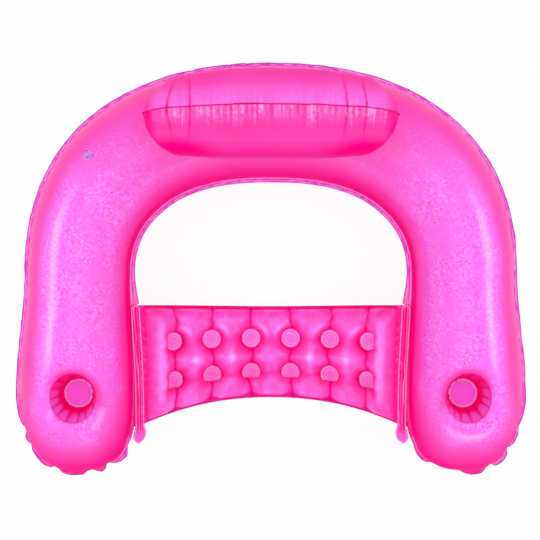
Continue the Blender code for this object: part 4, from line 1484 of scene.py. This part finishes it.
@dataclass
class Seat:
    """The quilted panel slung between the arms."""

    tube: Tube
    sag: float = 0.104
    sag_power: float = 3.0
    half_thickness: float = 0.04
    rear_setback: float = 0.087
    rear_bow: float = 0.012
    middle_length: float = 0.233
    front_flare: float = 0.062
    front_lift: float = 0.026
    flange: float = 0.0055
    end_weld: float = 0.027
    strip_width: float = 0.026
    strip_rear: float = 0.006
    strip_front: float = 0.05
    land: float = 0.012
    land_margin: float = 0.002
    edge_roll: float = 0.05
    end_roll: float = 0.05
    spot_radius: float = 0.0252
    spot_pitch: float = 0.108
    spot_columns: int = 6
    spot_rows: tuple[float, float] = (0.348, 0.747)
    row_rise: float = 0.05
    spot_roll: float = 0.043
    spot_blend: float = 0.009
    spot_rim: float = 0.0009
    line_width: float = 0.0042
    line_bow: tuple[float, float] = (0.005, 0.0045)
    line_period: float = 0.022
    # Soft valleys along the lines and rows, fine creases at the edges, and dents all over
    valley_widths: tuple[float, float] = (0.026, 0.02)
    fine_spacing: float = 0.013
    fine_width: float = 0.003
    fine_reach: float = 0.02
    dent_period: float = 0.016
    # Pale rings on the spots, and the reach of the painted shade round them and of their thin dark outline
    # of painted shade
    rim_inset: float = 0.003
    rim_width: float = 0.0023
    inner_share: float = 0.58
    inner_width: float = 0.0014
    disc_shade_reach: float = 0.012
    outline_reach: float = 0.0018
    # How the lobes in front of the spots, and beside the outer ones, lean over them
    lean_start: float = 0.006
    lean_fade: float = 0.07
    lap_fade: float = 0.05
    crinkle_height: float = 0.0014
    drop: float = 0.0012
    edge_crowding: float = 0.035
    # The strips' loop round the rim, the ridge along the middle, and how they lie on the flange
    strip_shift: float = 0.006
    strip_lift: float = 0.0011
    flange_lift: float = 0.0024
    tab_share: float = 0.42
    loop_inset: float = 0.0026
    loop_width: float = 0.0013
    ridge_sway: float = 0.0021
    ridge_period: float = 0.032
    ridge_places: tuple[float, float] = (0.0042, -0.003)
    ridge_widths: tuple[float, float] = (0.0012, 0.0009)
    groove_width: float = 0.0011
    loop_height: float = 0.0014
    ridge_height: float = 0.0011
    wrinkle_height: float = 0.0008
    fold_height: float = 0.0015
    fold_place: float = 0.014
    fold_width: float = 0.0012
    strip_columns: int = 220
    strip_rows: int = 44
    columns: int = 380
    rows: int = 150
    flange_rows: int = 3
    samples: int = 400
    shares: Array = field(init=False)
    runs: Array = field(init=False)

    def __post_init__(self) -> None:
        """Measure the slope from the seat's middle to the fold at the arm."""
        self.shares = np.linspace(0, 1, self.samples)
        spots = self.middle(self.shares, np.full(self.samples, self.spot_rows[0]))
        steps = np.linalg.norm(np.diff(spots, axis=0), axis=1)
        self.runs = np.concatenate([[0], np.cumsum(steps)])

    @property
    def chamber_run(self) -> float:
        """How far the air chamber reaches from the middle, along the slope."""
        return float(self.runs[-1]) - self.end_weld

    def fold_x(self, y: Array) -> Array:
        """How far from x = 0 the seat folds on to the arm's flange.

        Args:
            y: Places along the arm.

        Returns:
            The distance at each place.
        """
        tube = self.tube
        down = (tube.foot_y - np.maximum(y, tube.arm_end[1])) / tube.arm_length
        centre, _, radius = tube.spine(1 + down)
        return centre[:, 0] - radius - self.land - self.land_margin

    def edges(self, across: Array) -> tuple[Array, Array]:
        """The rear and front edges at a share of the half width.

        Args:
            across: 0 in the seat's middle and 1 at its fold.

        Returns:
            The rear edge's y and the front edge's y.
        """
        rear = self.tube.foot_y - self.rear_setback
        front = rear - self.middle_length
        return rear + self.rear_bow * across**2, front - self.front_flare * across**2

    def middle(self, across: Array, along: Array) -> Array:
        """Points midway between the sheets, at shares across and along the seat.

        Args:
            across: 0 in the seat's middle and 1 at its fold.
            along: 0 at the rear edge and 1 at the front one.

        Returns:
            The points, on the right-hand side.
        """
        reach = np.minimum(1, across)
        rear, front = self.edges(reach)
        y = mixed(rear, front, along)
        sag = self.sag * (1 - reach**self.sag_power)
        past = (along - self.spot_rows[-1]) / (1 - self.spot_rows[-1])
        lift = self.front_lift * eased(past) * (1 - reach**2)
        return np.stack([across * self.fold_x(y), y, self.tube.equator - self.drop - sag + lift], 1)

    def on_slope(self, run: Array, along: Array) -> Array:
        """Points midway between the sheets, at distances from the middle on either hand.

        Args:
            run: Distances from the middle, along the slope.
            along: 0 at the rear edge and 1 at the front one.

        Returns:
            The points.
        """
        away = np.abs(run)
        past = np.maximum(0, away - self.runs[-1])
        across = np.interp(away, self.runs, self.shares) + past / self.fold_x(np.array([-1.0]))
        spot = self.middle(across, along)
        spot[:, 0] *= np.where(run < 0, -1, 1)
        return spot

    def half_chord(self, off_middle: Array) -> Array:
        """Half the width of a spot at a distance from its middle."""
        return np.sqrt(np.maximum(0, self.spot_radius**2 - off_middle**2))

    def overhang(self, past: Array, fade: float) -> Array:
        """How far a lobe leans over a spot, at a distance past the spot's edge."""
        return rounded(past / self.lean_start) * (1 - eased(past / fade))

    def relief(self, run: Array, along: Array) -> dict[str, Array]:
        """How the seat is blown up, creased and welded at each place.

        Args:
            run: Distances from the middle, along the slope.
            along: 0 at the rear edge and 1 at the front one.

        Returns:
            The puff, from 0 on a weld to 1, how far the lobes lean, and how much of each
            feature there is, by its name.
        """
        away = np.abs(run)
        reach = np.clip(np.interp(away, self.runs, self.shares), 0, 1)
        rear, front = self.edges(reach)
        length = rear - front
        from_edge = np.minimum(along, 1 - along) * length
        along = along + self.row_rise * reach**2 * np.sin(math.pi * along**1.6)
        edge = rounded(from_edge / self.edge_roll)
        end = rounded((self.chamber_run - away) / self.end_roll)
        half = (self.spot_columns - 1) / 2
        off_spot, off_line, nearness = np.ones_like(run), np.ones_like(run), np.zeros_like(run)
        for count in range(self.spot_columns):
            middle = (count - half) * self.spot_pitch
            even, uneven = self.line_bow
            noise = wander(along * 0.3 + count, self.line_period, seed=83)
            bow = even * np.sin(along * 9 + count * 1.7) + uneven * noise
            off_line = np.minimum(off_line, np.abs(run - middle - bow))
            for share in self.spot_rows:
                off_this = np.hypot(run - middle, (along - share) * length)
                off_spot = np.minimum(off_spot, off_this)
                nearness += np.exp(-off_this / self.spot_blend)
        off_row = np.min([np.abs(along - share) * length for share in self.spot_rows], axis=0)
        off_soft = -self.spot_blend * np.log(nearness + TINY)
        spot = rounded((off_soft - self.spot_radius) / self.spot_roll)
        crease = np.exp(-off_line / self.line_width)
        fine = creases(run + AHEAD, self.fine_spacing, self.fine_width, seed=89)
        fine *= np.exp(-from_edge / self.fine_reach)
        broad = bell(off_line, self.valley_widths[0])
        valley = bell(off_row, self.valley_widths[1])
        dents = dimples(run + AHEAD, along * length, self.dent_period, seed=97)
        puff = edge * end * spot * (1 - 0.24 * crease) * (1 - 0.2 * broad) * (1 - 0.16 * valley)
        puff = puff * (1 - 0.06 * fine) * (1 + 0.04 * dents)
        disc = off_spot < self.spot_radius

        cell = away / self.spot_pitch
        width = self.half_chord(np.abs(cell % 1 - 0.5) * self.spot_pitch)
        past = (along - self.spot_rows[-1]) * length - width
        lean = np.maximum(0, width - 0.6 * self.spot_radius) + 0.003
        row_width = self.half_chord(off_row)
        beside = away - half * self.spot_pitch - row_width
        lap = np.maximum(0, row_width - 0.7 * self.spot_radius) + 0.002

        # Painted highlights: a star between four spots, and an arc beside each rear spot
        between = np.abs(cell - np.round(cell)) * self.spot_pitch
        middle_row = (along - sum(self.spot_rows) / 2) * length
        star_highlight = 0.5 * bell(between, 0.01) * bell(middle_row, 0.01)
        star_highlight += 0.3 * bell(between, 0.009) * bell(middle_row, 0.03)
        star_highlight += 0.3 * bell(between, 0.028) * bell(middle_row, 0.009)
        star_highlight *= 0.4 + 0.6 * eased((away - 0.035) / 0.03)
        rear_row = (self.spot_rows[0] - along) * length
        inward = (0.5 + np.floor(cell)) * self.spot_pitch - away
        arc = bell(np.hypot(inward, rear_row) - 0.045, 0.0065)
        arc *= bell(np.arctan2(rear_row, inward) - 0.75, 0.42)
        # Painted shade round the discs, by the lines and between the rows, and a thin dark outline of
        # painted shade round the discs
        off_disc = np.maximum(off_spot - self.spot_radius, 0)
        return {
            "puff": puff,
            "line": np.exp(-off_line / 0.0024) * ~disc,
            "disc": disc.astype(float),
            "rim": bell(off_spot - self.spot_radius + self.rim_inset, self.rim_width),
            "inner": bell(off_spot - self.spot_radius * self.inner_share, self.inner_width),
            "disc_shade": np.exp(-off_disc / self.disc_shade_reach) * ~disc,
            "outline": np.exp(-off_disc / self.outline_reach) * ~disc,
            "shade_near_line": bell(off_line, 0.013) * ~disc,
            "valley": bell(off_row, 0.016) * ~disc,
            "from_edge": from_edge,
            "lean": lean * self.overhang(past, self.lean_fade) * ~disc,
            "lap": lap * self.overhang(beside, self.lap_fade) * ~disc,
            "star_highlight": star_highlight,
            "arc": arc,
        }

    def sheet(self, side: Side, valves: list[ValvePlace], vinyl: Graph) -> bpy.types.Object:
        """Model the upper or the lower sheet.

        Args:
            side: Which sheet.
            valves: The valves that sit on it.
            vinyl: Its finish.

        Returns:
            The finished piece.
        """
        name = "seat_upper_skin" if side is Side.UP else "seat_lower_skin"
        piece, column, row = grid(name, self.columns, self.rows + 2 * self.flange_rows)
        widest = float(self.runs[-1]) + self.land
        run = (column / self.columns * 2 - 1) * widest
        inner = (row - self.flange_rows) / self.rows
        along = np.clip(inner, 0, 1)
        along = along - self.edge_crowding * np.sin(along * 2 * math.pi)
        relief = self.relief(run, along)
        up = slope_of(lambda a, b: self.on_slope(a, b * 4), run, along / 4, 0.004)
        up *= np.sign(up[:, 2:3] + TINY)
        past_air = np.abs(run) - self.chamber_run
        weld_zone = eased(past_air / 0.003)
        crinkle = creases(along * 0.3 + AHEAD + 0.9 * past_air, 0.023, 0.002, 103) ** 1.5 * weld_zone
        slanted = creases(along * 0.3 + FAR - 1.3 * past_air, 0.034, 0.0024, 127) ** 1.5
        crinkle = np.maximum(crinkle, slanted)
        crinkle *= bell(past_air - 0.006, 0.006) * (1 - eased((along - 0.55) / 0.3))
        half = SEAM_LIFT + (self.half_thickness - SEAM_LIFT) * relief["puff"]
        upper = side is Side.UP
        half += self.spot_rim * (relief["rim"] + 0.5 * relief["inner"]) * relief["disc"]
        half += self.crinkle_height * crinkle * upper
        points = self.on_slope(run, along) + up * side.value * half[:, None]
        points[:, 1] += relief["lean"] * upper
        points[:, 0] -= np.sign(run) * relief["lap"] * upper
        beyond = np.where(inner < 0, inner, np.maximum(0, inner - 1)) * self.rows / self.flange_rows
        points[:, 1] -= beyond * self.flange
        points, gone = press_valves(points, valves)
        shape(piece, points)
        self.tint(piece, relief, run, np.abs(beyond), crinkle)
        weld = (run, along * self.middle_length)
        return sew(piece, weld, Vector((0, 0, side.value)), vinyl, gone)

    def tint(
        self, piece: bpy.types.Object, relief: dict[str, Array], run: Array, fin: Array, crinkle: Array
    ) -> None:
        """Store on each corner of a seat sheet its painted light and shade, pale rings, painted highlights
        and dark lines.

        Args:
            piece: The sheet.
            relief: What each corner is part of.
            run: Its distance from the middle, along the slope.
            fin: 0 on the weld and 1 on the flange's edge.
            crinkle: How far it is on a small wrinkle of the end weld.
        """
        puff, disc_shade, line = relief["puff"], relief["disc_shade"], relief["line"]
        away = np.abs(run)
        # The end lobes, with a painted highlight streak down each
        lobe = eased((away - self.spot_pitch * (self.spot_columns / 2 - 0.3)) / 0.016)
        streak = bell(away - self.chamber_run + 0.031, 0.013)
        mottle = dimples(run + AHEAD, relief["from_edge"] + AHEAD, 0.014, 109)
        # Painted light on the quilted lobes, raised by painted highlights, with painted shade in the
        # valleys and by the lines, and random tone
        quilted = 0.73 + 0.35 * relief["star_highlight"] + 0.35 * relief["arc"] - 0.14 * relief["valley"]
        quilted += 0.12 * mottle - 0.2 * relief["shade_near_line"]
        plain = 0.6 + 0.42 * streak * eased((relief["from_edge"] - 0.01) / 0.05) + 0.1 * mottle
        pearl = mixed(quilted, plain, lobe) * eased(puff / mixed(0.45, 0.22, lobe))
        # Painted shade at the edges, along the lines and round the discs; the discs and the welded ends get
        # painted light of their own, lighter on the crinkles
        pearl = pearl * eased(relief["from_edge"] / 0.01 + 0.5) - 0.45 * line - 0.55 * disc_shade
        pearl = np.where(relief["disc"] > 0, 0.82, pearl)
        welded = away > self.chamber_run
        pearl = np.where(welded, 0.2 + 0.4 * crinkle, pearl)
        # Pale rings on the discs, and painted highlights on the crinkles, stars, arcs and lobe streaks
        pale = (0.75 * relief["rim"] + 0.4 * relief["inner"]) * relief["disc"] + 0.2 * crinkle
        pale += (0.8 * relief["star_highlight"] ** 2 + 0.35 * relief["arc"]) * (1 - lobe) * ~welded
        pale += 0.25 * streak * lobe * eased((relief["from_edge"] - 0.03) / 0.05)
        # Dark lines: painted shade in the creases along the lines, a line along the edge, a thin painted
        # shade round the discs, and the flange
        dark = 0.6 * line**2 + 0.22 * bell(relief["from_edge"] - 0.001, 0.002)
        mark(
            piece,
            pearl=pearl,
            fin=np.clip(fin, 0, 1) * 0.25,
            pale=pale,
            dark=dark * ~welded + 0.35 * relief["outline"] + 0.3 * (fin > 0.5),
        )

    def strip(self, hand: Hand, vinyl: Graph) -> bpy.types.Object:
        """The looped reinforcing strip over one end of the seat.

        Args:
            hand: Which end.
            vinyl: Its finish.

        Returns:
            The finished piece.
        """
        name = f"seat_strip_{hand.name.lower()}"
        piece, column, row = grid(name, self.strip_columns, self.strip_rows)
        rear, front = (float(each[0]) for each in self.edges(np.ones(1)))
        length = rear - front
        first, last = -self.strip_rear / length, 1 + self.strip_front / length
        share = column / self.strip_columns
        along = mixed(first, last, share)
        place = along * length
        from_rear, from_front = (along - first) * length, (last - along) * length
        tab = 1 - eased((from_front - 0.02) / 0.025)
        widest = self.strip_width / 2 * (1 + self.tab_share * tab)
        half_width = widest * np.maximum(0.1, rounded(np.minimum(from_rear, from_front) / widest))
        across = row / self.strip_rows * 2 - 1
        off_middle = across * half_width
        fold_run = float(self.runs[-1])
        run = fold_run - self.strip_shift * eased(share) + off_middle
        chord = np.minimum(1, (run - self.chamber_run) / self.end_weld)
        inner = self.on_slope(np.full_like(along, self.chamber_run), along)
        outer = self.on_slope(np.full_like(along, fold_run), along)
        up = np.stack([inner[:, 2] - outer[:, 2], np.zeros_like(along), outer[:, 0] - inner[:, 0]], 1)
        up /= np.linalg.norm(up, axis=1, keepdims=True)
        up = mixed(up, np.array([0.0, 0.0, 1.0]), eased((run - fold_run) / 0.004 + 0.5)[:, None])
        sway = self.ridge_sway * wander(place + AHEAD, self.ridge_period, seed=107 + hand.value)
        from_rim = np.minimum(half_width - np.abs(off_middle), np.minimum(from_rear, from_front))
        loop = bell(from_rim - self.loop_inset, self.loop_width)
        ridge, second = (
            bell(off_middle + sway - middle, width)
            for middle, width in zip(self.ridge_places, self.ridge_widths)
        )
        ridge = np.maximum(ridge * eased(from_rear / 0.012), second * 0.6)
        ridge *= (1 - tab) * (0.7 + 0.3 * wander(place + FAR, 0.024, 117 + hand.value))
        small = creases(place + 0.8 * off_middle + AHEAD, 0.019, 0.003, 101 + hand.value)
        small = np.maximum(small, creases(place - 1.4 * off_middle + FARTHEST, 0.031, 0.0028, 113))
        crinkle = small**1.6 * bell(across + 0.7, 0.34) * (1 - tab)
        fold = bell(from_front - self.fold_place - 0.9 * off_middle, self.fold_width) * tab
        lift = self.strip_lift + self.flange_lift * eased((run - fold_run) / 0.008 + 0.75)
        lift = lift + self.loop_height * loop + self.ridge_height * ridge
        lift = lift + self.wrinkle_height * crinkle + self.fold_height * fold
        points = mixed(inner, outer, chord[:, None]) + up * lift[:, None]
        points[:, 0] += np.maximum(0, run - fold_run)
        points[:, 0] *= hand.value
        shape(piece, points)
        # Painted light and highlights on the loop, the ridges, the crinkles and the tab, and painted shade
        # in the groove round the rim
        mark(
            piece,
            pearl=0.08 + 0.8 * np.maximum(loop, ridge) + 0.5 * crinkle + 0.6 * tab,
            pale=0.7 * loop + 0.6 * ridge + 0.3 * crinkle + 0.3 * fold,
            dark=0.3 * bell(from_rim, self.groove_width),
        )
        return sew(piece, (place, off_middle), Vector((0, 0, 1)), vinyl)


# Stage


@dataclass(frozen=True)
class Lamp:
    """An area light: its place, width and length, watts, target and spread."""

    place: tuple[float, float, float]
    size: tuple[float, float]
    power: float
    target: tuple[float, float, float] = (0, 0, 0.146)
    spread: float = math.pi

    def hang(self, name: str, hand: float = 1) -> None:
        """Build the light.

        Args:
            name: What it is called.
            hand: 1 as it is, and -1 for its mirror image to the left.
        """
        data = bpy.data.lights.new(name, "AREA")
        data.shape = "RECTANGLE"
        data.size, data.size_y = self.size
        data.energy = self.power
        data.spread = self.spread
        lamp = bpy.data.objects.new(name, data)
        bpy.context.scene.collection.objects.link(lamp)
        place, target = (Vector((hand * x, y, z)) for x, y, z in (self.place, self.target))
        lamp.location = place
        lamp.rotation_euler = (target - place).to_track_quat("-Z", "Y").to_euler()


@dataclass
class Studio:
    """A pale floor, soft light from above and both sides, and the photograph's camera."""

    scale: float = 0.00262
    distance: float = 2.4
    level: float = 0.146
    nadir_px: tuple[float, float] = (272.0, 222.0)
    centre_px: tuple[float, float] = (270.8, 269.0)
    frame_px: float = 540.0
    sensor: float = 36.0
    top: Lamp = Lamp((0, 0.4, 2.9), (2.6, 2.0), 13.0)
    side: Lamp = Lamp((2.0, 0.13, 1.36), (1.05, 0.72), 0.55, (0.66, 0.1, 0.2), math.radians(26))
    front: Lamp = Lamp((0, -2.1, 1.3), (1.6, 0.25), 3.5)
    ambient: float = 0.83
    glow: float = 0.93
    floor_size: float = 40.0
    floor_drop: float = 0.0005
    floor_colour: Colour = (0.92, 0.92, 0.92)
    floor_roughness: float = 0.9

    def camera(self) -> None:
        """A camera that looks straight down, shifted as the photograph is."""
        data = bpy.data.cameras.new("camera")
        data.sensor_width = self.sensor
        data.lens = self.distance / self.scale / self.frame_px * self.sensor
        data.shift_x = (self.frame_px / 2 - self.nadir_px[0]) / self.frame_px
        data.shift_y = (self.nadir_px[1] - self.frame_px / 2) / self.frame_px
        camera = bpy.data.objects.new("camera", data)
        bpy.context.scene.collection.objects.link(camera)
        x = (self.nadir_px[0] - self.centre_px[0]) * self.scale
        y = (self.centre_px[1] - self.nadir_px[1]) * self.scale
        camera.location = (x, y, self.level + self.distance)
        bpy.context.scene.camera = camera

    def lights(self) -> None:
        """One broad light above, one on each side, a long one in front, and the world's even light."""
        self.top.hang("top_light")
        for hand in Hand:
            self.side.hang(f"{hand.name.lower()}_light", hand.value)
        self.front.hang("front_light")
        world = bpy.data.worlds.new("studio")
        g = Graph(world)
        g.feed(g.shader.inputs["Color"], WHITE)
        g.feed(g.shader.inputs["Strength"], g.glare() * (1 - self.ambient) + self.ambient)
        bpy.context.scene.world = world

    def floor(self) -> None:
        """A white floor that keeps a soft shadow."""
        bpy.ops.object.select_all(action="DESELECT")
        bpy.ops.mesh.primitive_plane_add(size=self.floor_size, location=(0, 0, -self.floor_drop))
        floor = bpy.context.active_object
        floor.name = "floor"
        g = Graph(bpy.data.materials.new("floor"))
        g.feed(g.shader.inputs["Base Color"], self.floor_colour)
        g.feed(g.shader.inputs["Roughness"], self.floor_roughness)
        lit = Wire(g, g.shader.outputs[0])
        glow = g.add("ShaderNodeEmission", {}, {"Color": WHITE, "Strength": 1.0})
        seen = g.add("ShaderNodeMixShader", {}, {0: g.glare() * self.glow, 1: lit, 2: glow})
        g.feed(g.tree.nodes["Material Output"].inputs["Surface"], seen)
        g.dress(floor)

    def build(self) -> None:
        """Set the whole stage and a plain view transform."""
        self.camera()
        self.lights()
        self.floor()
        bpy.context.scene.view_settings.view_transform = "Standard"


def settle(piece: bpy.types.Object, nodes: tuple[str, ...]) -> None:
    """Hang a finished piece on the lounger's body and say what it stands for.

    Args:
        piece: The piece.
        nodes: The CAD nodes that it replaces.
    """
    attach(piece, ROOT)
    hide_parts(*nodes)
    log.info("%s: %d faces, stands for %s", piece.name, len(piece.data.polygons), ", ".join(nodes))


def main() -> None:
    """Build the lounger's looks, piece by piece."""
    logging.basicConfig(level=logging.INFO, format="%(name)s: %(message)s")
    Studio().build()
    vinyl = GlitterVinyl().graph("glitter_vinyl")
    calm_vinyl = GlitterVinyl(sparkle=0.35).graph("calm_glitter_vinyl")
    well_vinyl = GlitterVinyl(lilac=(1.0, 0.14, 0.86), sparkle=0.2, coat=0.4).graph("can_holder_vinyl")
    # The floor's painted highlights are paler
    floor_finish = GlitterVinyl(lilac=(1.0, 0.12, 1.0), pale=(1.0, 0.6, 1.0), sparkle=0.1, coat=0.4)
    floor_vinyl = floor_finish.graph("can_holder_floor_vinyl")
    tube = Tube()
    on_tube, on_pillow, on_seat = (ValvePlace(name) for name in ("tube", "pillow", "seat"))

    settle(tube.sheet(Side.UP, [on_tube], vinyl), ("tube_upper_sheet",))
    settle(tube.sheet(Side.DOWN, [], vinyl), ("tube_lower_sheet",))
    pillow = Pillow(tube)
    settle(pillow.sheet(Side.UP, [on_pillow], calm_vinyl), ("pillow_rear_sheet",))
    settle(pillow.sheet(Side.DOWN, [], calm_vinyl), ("pillow_front_sheet",))
    seat = Seat(tube)
    settle(seat.sheet(Side.UP, [], calm_vinyl), ("seat_upper_sheet",))
    settle(seat.sheet(Side.DOWN, [on_seat], calm_vinyl), ("seat_lower_sheet",))
    for hand in Hand:
        word = hand.name.lower()
        settle(seat.strip(hand, calm_vinyl), (f"seat_end_strip_{word}",))
        holder = CanHolder(tube, hand)
        settle(holder.well(well_vinyl), (f"cup_wall_{word}",))
        settle(holder.floor(floor_vinyl), (f"cup_floor_{word}",))

    shell = ClearVinyl().graph("valve_shell", 0.15, 0.85)
    core = ClearVinyl().graph("valve_core", 1.0, 1.0)
    for name, node in frame["nodes"].items():
        if "_valve_" in name:
            (core if name.endswith(("plug", "flap")) else shell).dress(node)
            log.info("%s: keeps its CAD shape", name)


if __name__ == "__main__":
    main()
